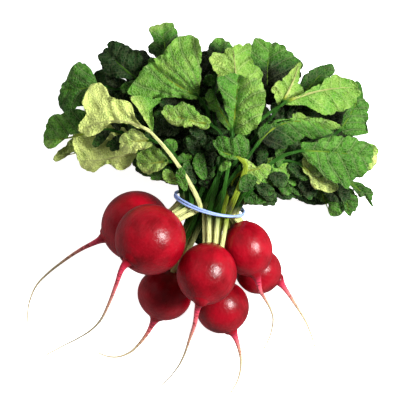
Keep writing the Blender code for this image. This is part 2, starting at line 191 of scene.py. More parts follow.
# %% Radishes' places
RADISHES = {
    "a": {
        "centre": (-36.6, -9.4, 19.75), "across": 19.8, "along": 19.4,
        "towards_leaves": (0.94, 0.32, 0.12),
        "root": ((-58, -17.5, 16.5), (-68, -22.5, 12), (-77, -28.5, 8), (-86, -35.5, 4.5),
                 (-93, -43, 2.4), (-97, -53, 1.6), (-98, -64, 1.3)),
    },
    "b": {
        "centre": (-28.3, -16.2, 58.4), "across": 19.3, "along": 19.2,
        "towards_leaves": (0.62, 0.60, -0.50),
        "root": ((-43.5, -32, 68), (-46.5, -40, 64), (-50.5, -50, 53), (-55.5, -60, 39),
                 (-61.5, -66.5, 25), (-69, -71.5, 13), (-77.5, -76, 5), (-87.5, -81.5, 1.5)),
    },
    "c": {
        "centre": (2.3, -34.8, 52.9), "across": 16.3, "along": 17.0,
        "towards_leaves": (0.22, 0.90, -0.36),
        "root": ((-3, -54.5, 55.5), (-4.3, -62, 52.5), (-7.2, -71, 44), (-9.8, -79, 34),
                 (-13, -86, 22), (-17.5, -92.5, 10), (-23, -98.5, 2)),
    },
    "d": {
        "centre": (-20.9, -46.9, 15.0), "across": 15.1, "along": 14.6,
        "towards_leaves": (0.36, 0.92, 0.14),
        "root": ((-27.2, -62.5, 12), (-30.5, -68.5, 9), (-34.5, -74, 6.2), (-40, -79.5, 3.6),
                 (-46.5, -82.2, 2.2), (-53, -82, 1.6), (-59, -79.8, 1.3)),
    },
    "e": {
        "centre": (11.0, -54.2, 14.85), "across": 14.9, "along": 14.6,
        "towards_leaves": (-0.37, 0.92, 0.13),
        "root": ((17.3, -69, 12.5), (19.6, -75, 10), (21.2, -82, 7), (21.2, -89, 4.3),
                 (19.4, -96, 2.3), (15.5, -103, 1.4)),
    },
    "f": {
        "centre": (24.7, -21.5, 37.2), "across": 13.5, "along": 15.3,
        "towards_leaves": (-0.30, 0.94, -0.12),
        "root": ((30.2, -38.8, 38.2), (31.6, -44.5, 34.5), (34.2, -49, 26.5), (37.3, -54.5, 18),
                 (39.2, -60.5, 10.5), (38.6, -67, 5), (36.8, -73, 2.2), (34, -78.5, 1.3)),
    },
    "g": {
        "centre": (30.9, -34.1, 12.75), "across": 12.8, "along": 13.0,
        "towards_leaves": (-0.89, 0.42, 0.15),
        "root": ((43.8, -41.4, 11), (47.5, -46.5, 9), (52, -53.5, 6.2), (57, -61.5, 3.8),
                 (60.5, -69.5, 2.2), (63, -77.5, 1.3)),
    },
}
print("radishes:", len(RADISHES), "widest:", 2 * max(r["across"] for r in RADISHES.values()), "mm")

# %% [markdown]
# ## Smooth ways
# Taproots, stalks and the leaves' outlines all follow a smooth line through a few points. This
# helper reads a curve through them at even steps, and a second one carries a pair of cross
# directions along it without twisting.

# %% Smooth ways
CURVE_STEPS = 24


def smooth_way(points, spacing):
    """Points every spacing or so along the smooth curve through points, and how far along each is."""
    p = np.array([tuple(q) for q in points], float)
    p = np.vstack([2 * p[0] - p[1], p, 2 * p[-1] - p[-2]])
    share = np.linspace(0, 1, CURVE_STEPS, endpoint=False)[:, None]
    fine = []
    for before, start, end, after in zip(p[:-3], p[1:-2], p[2:-1], p[3:]):
        fine.append(
            0.5 * (2 * start + (end - before) * share
                   + (2 * before - 5 * start + 4 * end - after) * share**2
                   + (3 * start - before - 3 * end + after) * share**3)
        )
    fine = np.vstack([*fine, p[-2:-1]])
    gone = np.concatenate([[0], np.cumsum(np.linalg.norm(np.diff(fine, axis=0), axis=1))])
    marks = np.linspace(0, gone[-1], max(3, round(gone[-1] / spacing) + 1))
    return np.column_stack([np.interp(marks, gone, fine[:, i]) for i in range(3)]), marks


def directions(points):
    """The way ahead at each point of a line."""
    ahead = np.gradient(points, axis=0)
    return ahead / np.linalg.norm(ahead, axis=1)[:, None]


def untwisted(ahead, first):
    """Two cross directions at each point, carried along from first: arrays (side, over)."""
    sides = []
    side = np.array(first, float)
    for way in ahead:
        side = side - way * side.dot(way)
        side = side / np.linalg.norm(side)
        sides.append(side)
    sides = np.array(sides)
    return sides, np.cross(ahead, sides)


quarter_turn = smooth_way([(10, 0, 0), (7.07, 7.07, 0), (0, 10, 0)], 1)
print("a quarter turn of 10 mm radius is", round(quarter_turn[1][-1], 2), "mm long")

# %% [markdown]
# ## Radish skin
# Radish skin is smooth, thin and moist, so it shines softly under a clear film of water. Its red
# lies in the outer cells and is uneven: darker patches, fine lengthwise streaks, and tiny pale pores.
# Towards the taproot the red fades through pink and peach to cream, with short brown marks across it
# where side roots broke off. All patterns follow "rest", each point's place before the root was
# bent, in millimetres, and "root", which runs from 0 where the root leaves the bulb to 1 at its tip.

# %% Radish skin
STREAK_WIDTH = 0.9  # mm
STREAK_LENGTH = 14.0
PATCH_SIZE = 13.0
PORE_SPACING = 1.9
MARK_SPACING = 1.5
MARK_SHAPE = (0.45, 0.45, 1.6)  # wide across the root and short along it
DENTS_PER_MM = 0.55


def radish_skin():
    finish, tree, shader = new_finish("radish_skin")
    rest = add_node(tree, "Attribute", attribute_name="rest").outputs["Vector"]
    root = add_node(tree, "Attribute", attribute_name="root").outputs["Fac"]
    patches = add_node(tree, "TexNoise", {"Vector": rest, "Scale": 1 / PATCH_SIZE, "Detail": 3.0})
    patch = add_node(tree, "MapRange", {0: patches.outputs[0], 1: 0.35, 2: 0.65})
    red = add_node(
        tree, "Mix",
        {FACTOR: patch.outputs[0], COLOUR_A: linear("#66020b"), COLOUR_B: linear("#920518")},
        data_type="RGBA",
    )
    lengthwise = (1 / STREAK_WIDTH, 1 / STREAK_WIDTH, 1 / STREAK_LENGTH)
    stretch = add_node(tree, "Mapping", {"Vector": rest, "Scale": lengthwise})
    streaks = add_node(tree, "TexNoise", {"Vector": stretch.outputs[0], "Scale": 1.0, "Detail": 3.0})
    streak = add_node(tree, "MapRange", {0: streaks.outputs[0], 1: 0.52, 2: 0.78, 3: 0.0, 4: 0.38})
    streaked = add_node(
        tree, "Mix",
        {FACTOR: streak.outputs[0], COLOUR_A: red.outputs[MIXED], COLOUR_B: linear("#9c1122")},
        data_type="RGBA",
    )
    pores = add_node(tree, "TexVoronoi", {"Vector": rest, "Scale": 1 / PORE_SPACING})
    pore = add_node(tree, "MapRange", {0: pores.outputs["Distance"], 1: 0.08, 2: 0.16, 3: 0.35, 4: 0.0})
    dotted = add_node(
        tree, "Mix",
        {FACTOR: pore.outputs[0], COLOUR_A: streaked.outputs[MIXED], COLOUR_B: linear("#982231")},
        data_type="RGBA",
    )
    fade = add_node(tree, "ValToRGB", {"Fac": root})
    stops = fade.color_ramp.elements
    stops[0].position, stops[0].color = 0.0, linear("#97102a")
    stops[1].position, stops[1].color = 1.0, linear("#b3a67e")
    for place, swatch in ((0.07, "#bf344e"), (0.18, "#cc6468"), (0.30, "#c89078"), (0.45, "#bba886")):
        stops.new(place).color = linear(swatch)
    onto_root = add_node(tree, "MapRange", {0: root, 1: 0.0, 2: 0.05})
    faded = add_node(
        tree, "Mix",
        {FACTOR: onto_root.outputs[0], COLOUR_A: dotted.outputs[MIXED], COLOUR_B: fade.outputs["Color"]},
        data_type="RGBA",
    )
    across = add_node(tree, "Mapping", {"Vector": rest, "Scale": MARK_SHAPE})
    marks = add_node(tree, "TexVoronoi", {"Vector": across.outputs[0], "Scale": 1 / MARK_SPACING})
    mark = add_node(tree, "MapRange", {0: marks.outputs["Distance"], 1: 0.30, 2: 0.44, 3: 0.8, 4: 0.0})
    where_in = add_node(tree, "MapRange", {0: root, 1: 0.01, 2: 0.06})
    where_out = add_node(tree, "MapRange", {0: root, 1: 0.25, 2: 0.62, 3: 1.0, 4: 0.0})
    where = add_node(
        tree, "Math", {0: where_in.outputs[0], 1: where_out.outputs[0]}, operation="MULTIPLY"
    )
    marked = add_node(tree, "Math", {0: mark.outputs[0], 1: where.outputs[0]}, operation="MULTIPLY")
    whole = add_node(
        tree, "Mix",
        {FACTOR: marked.outputs[0], COLOUR_A: faded.outputs[MIXED], COLOUR_B: linear("#5e1a18")},
        data_type="RGBA",
    )
    tree.links.new(whole.outputs[MIXED], shader.inputs["Base Color"])
    dull = add_node(tree, "MapRange", {0: streaks.outputs[0], 3: 0.22, 4: 0.40})
    tree.links.new(dull.outputs[0], shader.inputs["Roughness"])
    dents = add_node(tree, "TexNoise", {"Vector": rest, "Scale": DENTS_PER_MM, "Detail": 4.0})
    relief = add_node(tree, "Bump", {"Height": dents.outputs[0], "Strength": 0.6, "Distance": 0.45 * MM})
    tree.links.new(relief.outputs[0], shader.inputs["Normal"])
    shader.inputs["IOR"].default_value = 1.42
    shader.inputs["Specular IOR Level"].default_value = 0.32
    shader.inputs["Coat Weight"].default_value = 0.05
    shader.inputs["Coat Roughness"].default_value = 0.12
    return finish


skin = radish_skin()
print("finish:", skin.name)

# %% [markdown]
# ## Radishes
# A radish is a turned shape with a tail. Its half outline, from the crown over the bulb to the tip
# of the taproot, is spun once round as if on a lathe. Then the straight tail is bent: every ring is
# moved to its place on the root's way. Spinning first keeps the skin smooth from bulb to root, which
# a sphere and a tube joined together would not.

# %% A radish's half outline
BULB_STATIONS = 44
ROOT_SPACING = 0.9
CROWN_RADIUS = 4.6
ROOT_RADIUS = 0.75
TIP_RADIUS = 0.40
NECK = 0.75  # how much thicker the root is near the bulb
NECK_REACH = 9.0
FLARE = 1.6  # how much it widens where it leaves the bulb
FLARE_REACH = 1.9


def half_outline(across, along, root_length):
    """(distance from the bulb's middle, radius) from the crown's middle to the root's tip."""
    crown = ((1.2, 0.0), (1.1, 1.6), (0.5, 3.2), (0.35, CROWN_RADIUS))
    outline = [(-along + sunk, radius) for sunk, radius in crown]
    first = math.asin(CROWN_RADIUS / across) * 1.15
    for turn in np.linspace(first, math.pi, BULB_STATIONS):
        outline.append((-along * math.cos(turn), across * math.sin(turn)))
    blended = []
    for distance, radius in outline:
        if distance > 0:
            flare = FLARE * math.exp((distance - along) / FLARE_REACH)
            root = ROOT_RADIUS + TIP_RADIUS + NECK + flare
            radius = (max(radius, 0) ** 3 + root**3) ** (1 / 3)
        blended.append((distance, radius))
    for beyond in np.arange(ROOT_SPACING, root_length, ROOT_SPACING):
        share = beyond / root_length
        root = ROOT_RADIUS * (1 - share) ** 1.3 + TIP_RADIUS * (1 - 0.3 * share)
        root += NECK * math.exp(-beyond / NECK_REACH)
        blended.append((along + beyond, root + FLARE * math.exp(-beyond / FLARE_REACH)))
    blended.append((along + root_length, 0.0))
    return blended


print("points in an outline:", len(half_outline(19.8, 19.4, 70)))

# %% [markdown]
# The spun shape isn't perfectly even: slow noise gives the bulb its low bumps, and quicker noise
# knots the root. The crown's end is closed by the outline's first point, and the tip by its last.

# %% Radishes
SPIN_STEPS = 64
STRAIGHT = 0.97  # the share of the bulb that stays straight when the root is bent
LUMP, LUMP_FINENESS = 0.022, 0.045  # of the radius, and per mm
KNOT, KNOT_FINENESS = 0.05, 0.7
KNOTS_FROM = 5.0  # mm beyond the bulb, where the knots are at their full height
FIRST_SIDE = (0.3, -0.2, 1.0)


def turned(outline):
    """A half outline of (distance, radius) spun once round."""
    shape = bmesh.new()
    chain = [shape.verts.new((radius, 0, distance)) for distance, radius in outline]
    for first, second in zip(chain, chain[1:]):
        shape.edges.new((first, second))
    bmesh.ops.spin(
        shape, geom=shape.verts[:] + shape.edges[:], cent=(0, 0, 0), axis=(0, 0, 1), dvec=(0, 0, 0),
        angle=2 * math.pi, steps=SPIN_STEPS, use_merge=True,
    )
    bmesh.ops.remove_doubles(shape, verts=shape.verts, dist=0.001)
    return shape


def radish(letter):
    """One finished radish, with its taproot bent along its way."""
    facts = RADISHES[letter]
    centre, along = np.array(facts["centre"]), facts["along"]
    rootwards = -np.array(facts["towards_leaves"])
    rootwards = rootwards / np.linalg.norm(rootwards)
    tail, gone = smooth_way([centre + rootwards * along * STRAIGHT, *facts["root"]], ROOT_SPACING)
    root_length = gone[-1] - (1 - STRAIGHT) * along
    marks = gone - (1 - STRAIGHT) * along + along
    shape = turned(half_outline(facts["across"], along, root_length))
    rest_layer = shape.verts.layers.float_vector.new("rest")
    root_layer = shape.verts.layers.float.new("root")
    sides, overs = untwisted(np.vstack([rootwards, directions(tail)]), FIRST_SIDE)
    seed = Vector((ord(letter) * 7.3, 0, 0))
    for vertex in shape.verts:
        x, y, distance = vertex.co
        beyond = distance - along
        lump = 1 + LUMP * noise.noise(vertex.co * LUMP_FINENESS + seed)
        knot = KNOT * noise.noise(vertex.co * KNOT_FINENESS + seed)
        lump += knot * max(0, min(1, beyond / KNOTS_FROM))
        vertex[rest_layer] = vertex.co + seed * 10
        vertex[root_layer] = max(0.0, beyond) / (marks[-1] - along)
        if distance <= along * STRAIGHT:
            middle, side, over = centre + rootwards * distance, sides[0], overs[0]
        else:
            middle, side, over = (
                np.array([np.interp(distance, marks, table[:, i]) for i in range(3)])
                for table in (tail, sides[1:], overs[1:])
            )
        vertex.co = Vector(middle + (side * x + over * y) * lump) * MM
        vertex.co.z = max(vertex.co.z, 0)  # a root is soft where it lies on the table
    bmesh.ops.recalc_face_normals(shape, faces=shape.faces)
    piece = as_piece("skin_" + letter, shape, skin)
    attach(piece, "root")
    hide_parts("radish_" + letter)
    return piece


for letter in RADISHES:
    made = radish(letter)
    print(made.name, len(made.data.polygons), "faces")

# %% [markdown]
# ## Where the stalks run
# All the leaf stalks pass through the rubber band in six rows, and each has a place there. These are
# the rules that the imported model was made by, so that the stalks follow their own solids.

# %% The tied bundle
BAND_CENTRE = Vector((3.8, 3.2, 38.5))
BAND_ACROSS = Vector((0.96, -0.255, -0.10)).normalized()
BAND_TILT = math.radians(19)
BAND_HALF_WIDTH = 19.6
BAND_HALF_HEIGHT = 14.9
BUNDLE_ROWS = ("BBCCC", "BBCCCF", "ABDEEFF", "AADDEFF", "ADDEGG", "ADDEG")
STALK_PITCH = 5.2
ROW_PITCH = 3.7
STALK_WIDTH = 3.0
STALK_THICKNESS = 2.2
CROWN_SHRINK = 0.70  # stalks stand closer together at the crown than in the band
CROWN_GAP = 0.8

leaning = Vector((0, -math.sin(BAND_TILT), math.cos(BAND_TILT)))
band_up = (leaning - BAND_ACROSS * leaning.dot(BAND_ACROSS)).normalized()
band_along = band_up.cross(BAND_ACROSS)


def bundle_slots():
    """For each row, top first: (radish letter, across, up) in the band's plane, left to right."""
    rows = []
    for row, letters in enumerate(BUNDLE_ROWS):
        up = ROW_PITCH * ((len(BUNDLE_ROWS) - 1) / 2 - row)
        first = -STALK_PITCH * (len(letters) - 1) / 2
        rows.append(
            [(letter.lower(), first + STALK_PITCH * k, up) for k, letter in enumerate(letters)]
        )
    return rows


def crown_offsets(slots):
    """{(row, place): (across, up)} of each stalk's start, from the middle of its crown."""
    offsets = {}
    for letter in RADISHES:
        mine = [
            (row, k, across, up)
            for row, places in enumerate(slots)
            for k, (owner, across, up) in enumerate(places)
            if owner == letter
        ]
        middle_across = sum(m[2] for m in mine) / len(mine)
        middle_up = sum(m[3] for m in mine) / len(mine)
        for row, k, across, up in mine:
            beside, above = across - middle_across, up - middle_up
            offsets[(row, k)] = (beside * CROWN_SHRINK, above * CROWN_SHRINK)
    return offsets


def crown_point(letter, offset):
    """Where a stalk starts at the crown, and the direction in which it leaves."""
    facts = RADISHES[letter]
    axis = Vector(facts["towards_leaves"]).normalized()
    side = (BAND_ACROSS - axis * BAND_ACROSS.dot(axis)).normalized()
    top = Vector(facts["centre"]) + axis * (facts["along"] + CROWN_GAP)
    return top + side * offset[0] + side.cross(axis) * offset[1], axis


print("stalks in the band:", sum(len(row) for row in BUNDLE_ROWS))

# %% [markdown]
# A stalk leaves the crown of its own radish, goes through its place in the band, and then bends
# towards its blade, where it becomes the midrib. Each half of that way is a Hermite curve, which is
# set by its two ends and by the directions there.

# %% A stalk's way
LEAVING, ARRIVING = 0.5, 0.5  # how stiffly it keeps its direction at the crown and at the band
BEYOND_BAND, INTO_BLADE = 0.8, 0.7
STALK_STEPS = 4  # in each half


def hermite(start, start_way, end, end_way, share):
    """A point on the smooth curve from start to end that leaves and arrives along the two ways."""
    square, cube = share * share, share**3
    return (
        start * (2 * cube - 3 * square + 1)
        + start_way * (cube - 2 * square + share)
        + end * (3 * square - 2 * cube)
        + end_way * (cube - square)
    )


def blade_midrib(leaf, share):
    """A point of a packed blade's midrib, in mm."""
    base, tip, bow, arch = Vector(leaf[0]), Vector(leaf[1]), leaf[2], leaf[3]
    left = Vector((base.y - tip.y, tip.x - base.x, 0)).normalized()
    bump = 4 * share * (1 - share)
    return base.lerp(tip, share) + left * (bow * bump) + Vector((0, 0, arch * bump))


def stalk_line(leaf, slot_point, crown, crown_way):
    """Points from the crown through the band to the blade's base."""
    before = (slot_point - crown).length
    leave, arrive = crown_way * before * LEAVING, band_along * before * ARRIVING
    points = [
        hermite(crown, leave, slot_point, arrive, k / STALK_STEPS) for k in range(STALK_STEPS)
    ]
    base = Vector(leaf[0])
    after = (base - slot_point).length
    blade_way = (blade_midrib(leaf, 0.1) - base).normalized()
    leave, arrive = band_along * after * BEYOND_BAND, blade_way * after * INTO_BLADE
    points += [
        hermite(slot_point, leave, base, arrive, k / STALK_STEPS) for k in range(STALK_STEPS + 1)
    ]
    return points


print("steps in a stalk:", 2 * STALK_STEPS)

# %% [markdown]
# ## The leaves' places and looks
# The table has one row for each row of the bundle, top row first. A leaf has three parts. First
# comes what the imported model was made from: the ends of its midrib, how far it bows and arches,
# where it is widest, its half widths and edge heights, and its ruffle. Then comes its look:
# - "tones" to the left and right of the midrib, from 0, nearly black, to 1, pale yellow-green; partly
#   the leaf's own colour and partly painted light and shade, with a lit and a shaded half across a fold,
#   and nearly black blades painted as the deep shade inside the bunch;
# - "under", 1 where the underside is up;
# - "tip" and "dim", how much lighter it is at its tip and darker at its base: painted light on an end
#   that reaches out of the bunch's shade, and painted shade at the base;
# - "stalk", "girth" and "straight", its stalk's tone, thickness, and how far it is pulled straight; the
#   stalk's tone is its own green, darkened as painted shade where it runs deep in the bunch;
# - "fold", how deep in mm the blade folds, and "fan" for veins that fan out from the base;
# - "late" for a leaf that is laid last in its row, over the others;
# - "leaflets", whether it has small blades down its stalk, and "lobes", others given one by one.
# Last, where the leaf isn't a plain oval, come the corners of its outline from above, in mm.

# %% Plain leaf
PLAIN = {
    "tones": (0.5, 0.5), "under": 0.0, "tip": 0.0, "dim": 0.0,
    "stalk": 0.2, "girth": 0.74, "straight": 0.0,
    "fold": 1.2, "fan": False, "late": False,
    "leaflets": True, "lobes": (),
}
LEAVES = []
print("a look has", len(PLAIN), "values")

# %% [markdown]
# The top row lies over everything. Its big cream leaf at the left shows its underside.

# %% Leaves lying on top
LEAVES.append((
    (((-27, 38, 49), (-47, 36.5, 40), 0, 2, 0.60, (7, -2), (7, -2), 1.0),
     {"tones": (0.96, 0.88), "leaflets": False,
      "lobes": ((((-13, 14, 40), (-21, 22, 36), 1, 1, 0.55, (3.4, 0), (3.4, 0), 1.0),
                 (0.80, 0.70), ()),)},
     ((-46, 34.5), (-44.5, 40.5), (-39.5, 44), (-35, 43.5), (-30, 39), (-27, 35), (-33, 32),
      (-38, 30), (-43, 31))),
    (((-27, 41.5, 53), (-66.5, 43, 41), -6, 3, 0.66, (5, -4), (20, -4), 1.6),
     {"tones": (1.0, 1.0), "under": 1.0, "stalk": 1.0, "fold": 1.6, "leaflets": False, "straight": 0.6,
      "lobes": ((((-27, 42.5, 50), (-33, 61, 45), 0, 1, 0.8, (3, 0), (5, 0), 0.6), (0.9, 0.55),
                 ((-27, 42), (-30.5, 47), (-35, 54), (-40, 61), (-31, 62), (-21, 60.5), (-27, 56),
                  (-26.5, 49))),)},
     ((-31, 44), (-35, 48), (-37, 52), (-39, 58), (-44, 60), (-50, 61.5), (-52, 65), (-54, 69),
      (-58, 69.5), (-62, 67.5), (-66, 59), (-64, 52), (-68, 46), (-67.5, 42), (-62, 39.5),
      (-55, 42.5), (-49, 46.5), (-40, 46.5), (-35, 44))),
    (((6, 46, 53), (-23.5, 54, 49), 1, 3, 0.60, (8.5, -4), (8.5, -3), 1.0),
     {"tones": (0.84, 0.66), "fold": 2.0, "leaflets": False,
      "lobes": ((((-9, 10, 44), (-12, 23, 44), 1, 1, 0.55, (3.2, 0), (3.2, 0), 0.8), (0.52, 0.44), ()),
                (((1, 16, 46), (-2, 31, 47), 1, 1, 0.55, (4, 0), (4, 0), 0.8), (0.46, 0.32), ()))},
     ((-23.5, 54.5), (-20.5, 57), (-15, 56.5), (-10.5, 59), (-6, 57), (-2, 53), (4, 49), (4, 45),
      (0.5, 43), (-4, 45), (-10, 44), (-16, 45), (-20, 49))),
    (((16.5, 43, 54), (19.5, 73, 48), 0, 4, 0.55, (14.5, 4), (14.5, 3), 1.6),
     {"tones": (0.46, 0.68), "fold": 6.0, "stalk": 0.3, "leaflets": False,
      "lobes": ((((9, 21, 50), (15, 26, 51), 0, 1, 0.55, (2.4, 0), (2.4, 0), 0.5), (0.66, 0.56), ()),)},
     ((7.5, 71), (12, 73), (17.5, 74), (24, 72), (29.5, 71), (33.5, 67), (34, 60), (33, 53), (31, 47),
      (27, 41.5), (22, 40), (16.5, 42), (13.5, 50), (11, 56.5), (9, 64))),
    (((21, 28, 51), (4.5, 34.5, 48), 1, 2, 0.50, (5, -2), (5, -2), 0.6),
     {"tones": (0.50, 0.42), "fold": 2.6, "stalk": 0.62, "girth": 1.1, "leaflets": False,
      "lobes": ((((20, 10, 43), (29, 18, 40), 1, 1, 0.5, (4, 0), (4.5, 0), 1.0), (0.34, 0.26), ()),)},
     ((5, 37.5), (9, 40), (15, 38.5), (20, 41), (25.5, 36), (24, 29), (20, 27.5), (15, 26), (11, 28),
      (7.5, 32))),
))
print("leaves lying on top:", len(LEAVES[-1]))

# %% [markdown]
# The second row shows between the leaves of the first. Two of its blades lie with their olive
# undersides up, far out.

# %% Second row
LEAVES.append((
    (((21, 20.5, 51.5), (36, 23, 48), 0, 2, 0.55, (7.5, -2), (7.5, -4), 0.6),
     {"tones": (0.82, 0.74), "stalk": 0.62, "late": True, "leaflets": False},
     ((21.5, 27.5), (25, 27), (29, 23.5), (33, 25), (37, 23.5), (35, 17), (30.5, 13.5), (26.5, 15),
      (22, 20))),
    (((-18, 27, 40), (-37, 25.5, 30), 1, 2, 0.60, (8, -3), (8, -2), 1.0),
     {"tones": (0.84, 0.72), "leaflets": False},
     ((-36, 30), (-32, 34), (-27, 35.5), (-22.5, 32), (-18.5, 27), (-19, 24.5), (-24, 21),
      (-29, 18.5), (-33, 20.5), (-36.5, 25))),
    (((20, 54, 46), (16.5, 90.5, 41), 0, 4, 0.60, (13.5, -2), (13.5, -4), 1.4),
     {"tones": (0.80, 0.70), "under": 1.0, "fold": 1.6, "leaflets": False},
     ((3, 83), (6, 86), (10.5, 85), (13, 88.5), (18.5, 90.5), (26.5, 91), (26.5, 84), (29.5, 79.5),
      (33, 74), (31, 64), (20, 56), (10, 62), (7.5, 72))),
    (((44, 58, 45.5), (82, 67, 32), 2, 4, 0.60, (10, -3), (10.5, -3), 1.2),
     {"tones": (0.69, 0.67), "under": 1.0, "stalk": 0.3, "leaflets": False},
     ((44, 57), (51, 61), (61, 67.5), (67, 71.5), (73, 74.5), (78, 73), (83.5, 70.5), (87, 65.5),
      (86, 60), (78, 54), (69, 51.5), (62, 53), (56, 56.5))),
    (((28, 33, 49), (67, 44, 37), 9, 6, 0.50, (8, -3), (9, -8), 1.2),
     {"tones": (0.74, 0.40), "fold": 3.4, "stalk": 0.2, "dim": 0.4, "leaflets": False},
     ((29.5, 42), (31, 45.5), (37, 47), (44.5, 48), (49.5, 52.5), (55.5, 52), (60, 48), (64, 46.5),
      (68, 48.5), (74.5, 48), (75, 44), (69, 40.5), (62, 38.5), (54, 38), (48, 35), (42, 32),
      (36, 33.5), (31, 37.5))),
    (((52, 32, 46.5), (94, 28, 30), 1, 5, 0.55, (9.5, -4), (14.5, -5), 1.6),
     {"tones": (0.46, 0.44), "fold": 3.2, "stalk": 0.25, "leaflets": False},
     ((53, 36.5), (58, 36), (64, 38.5), (72.5, 40.5), (79.5, 40.5), (87, 38.5), (92.5, 35),
      (94, 29.5), (92, 24), (88, 18), (82, 15.5), (79.5, 10.5), (75, 13), (68, 16.5), (61, 22),
      (54.5, 29))),
))
print("second row:", len(LEAVES[-1]))

# %% [markdown]
# The third row holds the bright, fan-veined blade above the band, and the leaves at its sides.

# %% Third row
LEAVES.append((
    (((-61, 44, 22), (-88, 39, 10), 2, 3, 0.60, (11.5, -3), (11.5, -2), 1.5),
     {"tones": (0.66, 0.56), "fold": 2.6, "dim": 0.2},
     ((-77, 54), (-71, 55.5), (-63, 54.5), (-60, 49), (-62, 44), (-69, 42), (-77, 38), (-84.5, 32.5),
      (-88, 36), (-88.5, 41), (-86, 49), (-82, 53))),
    (((-2, 62, 42), (-27, 79, 35), 2, 4, 0.78, (24, -7), (22, -6), 2.0),
     {"tones": (0.60, 0.66), "fold": 2.0, "fan": True},
     ((-12, 96), (-5, 95.5), (-1, 90.5), (-0.5, 76), (-1.5, 64), (-4, 60), (-15.5, 61), (-27, 60),
      (-37, 61), (-41.5, 63.5), (-38, 69.5), (-34.5, 76), (-23, 85.5), (-16, 93))),
    (((33, 27, 34), (46, 21, 27), 0, 2, 0.55, (7, -2), (7, -3), 0.8),
     {"tones": (0.72, 0.60)},
     ((28, 23), (34, 27), (39, 29), (45, 28), (48, 23), (47, 17), (43.5, 12.5), (36, 13), (30, 15))),
    (((16, 42, 42), (1.5, 65, 40), -1, 1, 0.55, (4, 2), (4, -2), 0.6),
     {"tones": (0.62, 0.46), "leaflets": False},
     ((1, 61.5), (3, 65.5), (5.5, 66.5), (7, 61), (11.5, 54), (17.5, 45), (15.5, 42.5), (11, 46.5),
      (6, 52.5))),
    (((43, 57.5, 40), (53, 80.5, 36), -1, 2, 0.42, (8, 2), (7, -4), 0.8),
     {"tones": (0.80, 0.74), "under": 1.0, "leaflets": False},
     ((54, 81.5), (46, 74), (37.5, 67), (39.5, 60), (42.5, 56), (48, 59), (55.5, 64), (53, 72))),
    (((74, 42, 30), (88.5, 67, 18), -1, 3, 0.58, (8.5, -3), (8.5, -3), 1.2),
     {"tones": (0.36, 0.44)},
     ((76, 43), (78, 54), (81, 62), (82, 68), (85, 71.5), (88, 68), (89, 62), (92, 58), (92, 51),
      (90, 47), (91.5, 41), (82, 40))),
    (((52, 26, 40), (73, 10.5, 30), -1, 3, 0.55, (7.5, -2), (7, -3), 1.0),
     {"tones": (0.84, 0.94), "fold": 1.8, "leaflets": False},
     ((54, 24), (55, 19.5), (58, 15.5), (61, 11.5), (69, 9), (75, 12), (70, 19), (62, 27), (55, 29))),
))
print("third row:", len(LEAVES[-1]))

# %% [markdown]
# The fourth row has a big pale blade at the left, and darker ones round the rim of the bunch, of
# which only the ends show. Their dark tones are partly painted shade, and their lighter tips painted
# light.

# %% Fourth row
LEAVES.append((
    (((-57, 69, 19), (-80.5, 66.5, 8), 1, 3, 0.60, (13.5, -3), (14.5, -3), 1.6),
     {"tones": (0.34, 0.44), "fold": 3.2, "dim": 0.1},
     ((-67.5, 82), (-63, 79), (-58, 71), (-58, 65), (-64, 57.5), (-68, 57), (-72.5, 54), (-77, 53.5),
      (-79.5, 57), (-80.5, 62), (-78.5, 69), (-75.5, 74), (-73, 78.5))),
    (((-34, 33, 31), (-69, 27, 18), 2, 4, 0.60, (11.5, -4), (11, -3), 2.0),
     {"tones": (1.0, 1.0), "under": 0.6},
     ((-72.5, 41), (-68, 24.5), (-61.5, 19.5), (-57, 22.5), (-52, 25), (-46.5, 21.5), (-41, 23),
      (-36, 28.5), (-36, 36), (-43, 45), (-54, 47.5), (-65, 46))),
    (((-34, 70, 25), (-55, 90, 11), 1, 3, 0.62, (11.5, -4), (10.5, -4), 1.6),
     {"tones": (0.10, 0.14), "fold": 2.4},
     ((-58.5, 84.5), (-55.5, 88), (-51.5, 93.5), (-48, 94), (-44, 92), (-37, 89), (-33, 86),
      (-33.5, 76), (-38, 72), (-46, 71), (-53, 74), (-57, 80))),
    (((-18, 80, 24), (-22, 103, 12), 1, 3, 0.60, (8, -3), (8.5, -3), 1.4),
     {"tones": (0.34, 0.28), "tip": 0.4, "dim": 0.2, "fold": 2.4},
     ((-30, 99), (-29, 101.5), (-23.5, 103.5), (-18, 104), (-15.5, 102.5), (-13.5, 98), (-13.5, 92),
      (-17, 85), (-22, 80), (-28, 85), (-30.5, 89), (-28, 94))),
    (((7, 74, 29), (10.5, 95.5, 15), -1, 2, 0.45, (8, -3), (8, -3), 1.2),
     {"tones": (0.10, 0.08), "tip": 0.5},
     ()),
    (((73, 33, 23), (97.5, 32, 11), 1, 3, 0.60, (8, -2), (8, -2), 1.2),
     {"tones": (0.44, 0.62), "tip": 0.3},
     ((74, 35), (80, 38), (91, 37.5), (97, 34.5), (98, 31), (97, 26), (92.5, 21), (86, 19), (80, 23),
      (74, 30))),
    (((78, 17, 19), (95, -1, 6), 2, 2, 0.45, (6, -2), (5.5, -2), 0.8),
     {"tones": (0.36, 0.30)},
     ((79, 16), (84, 15.5), (91, 14), (94.5, 10.5), (94.5, 4), (95.5, 0), (92, 4), (90, 7), (87, 6.5),
      (84.5, 9.5))),
))
print("fourth row:", len(LEAVES[-1]))
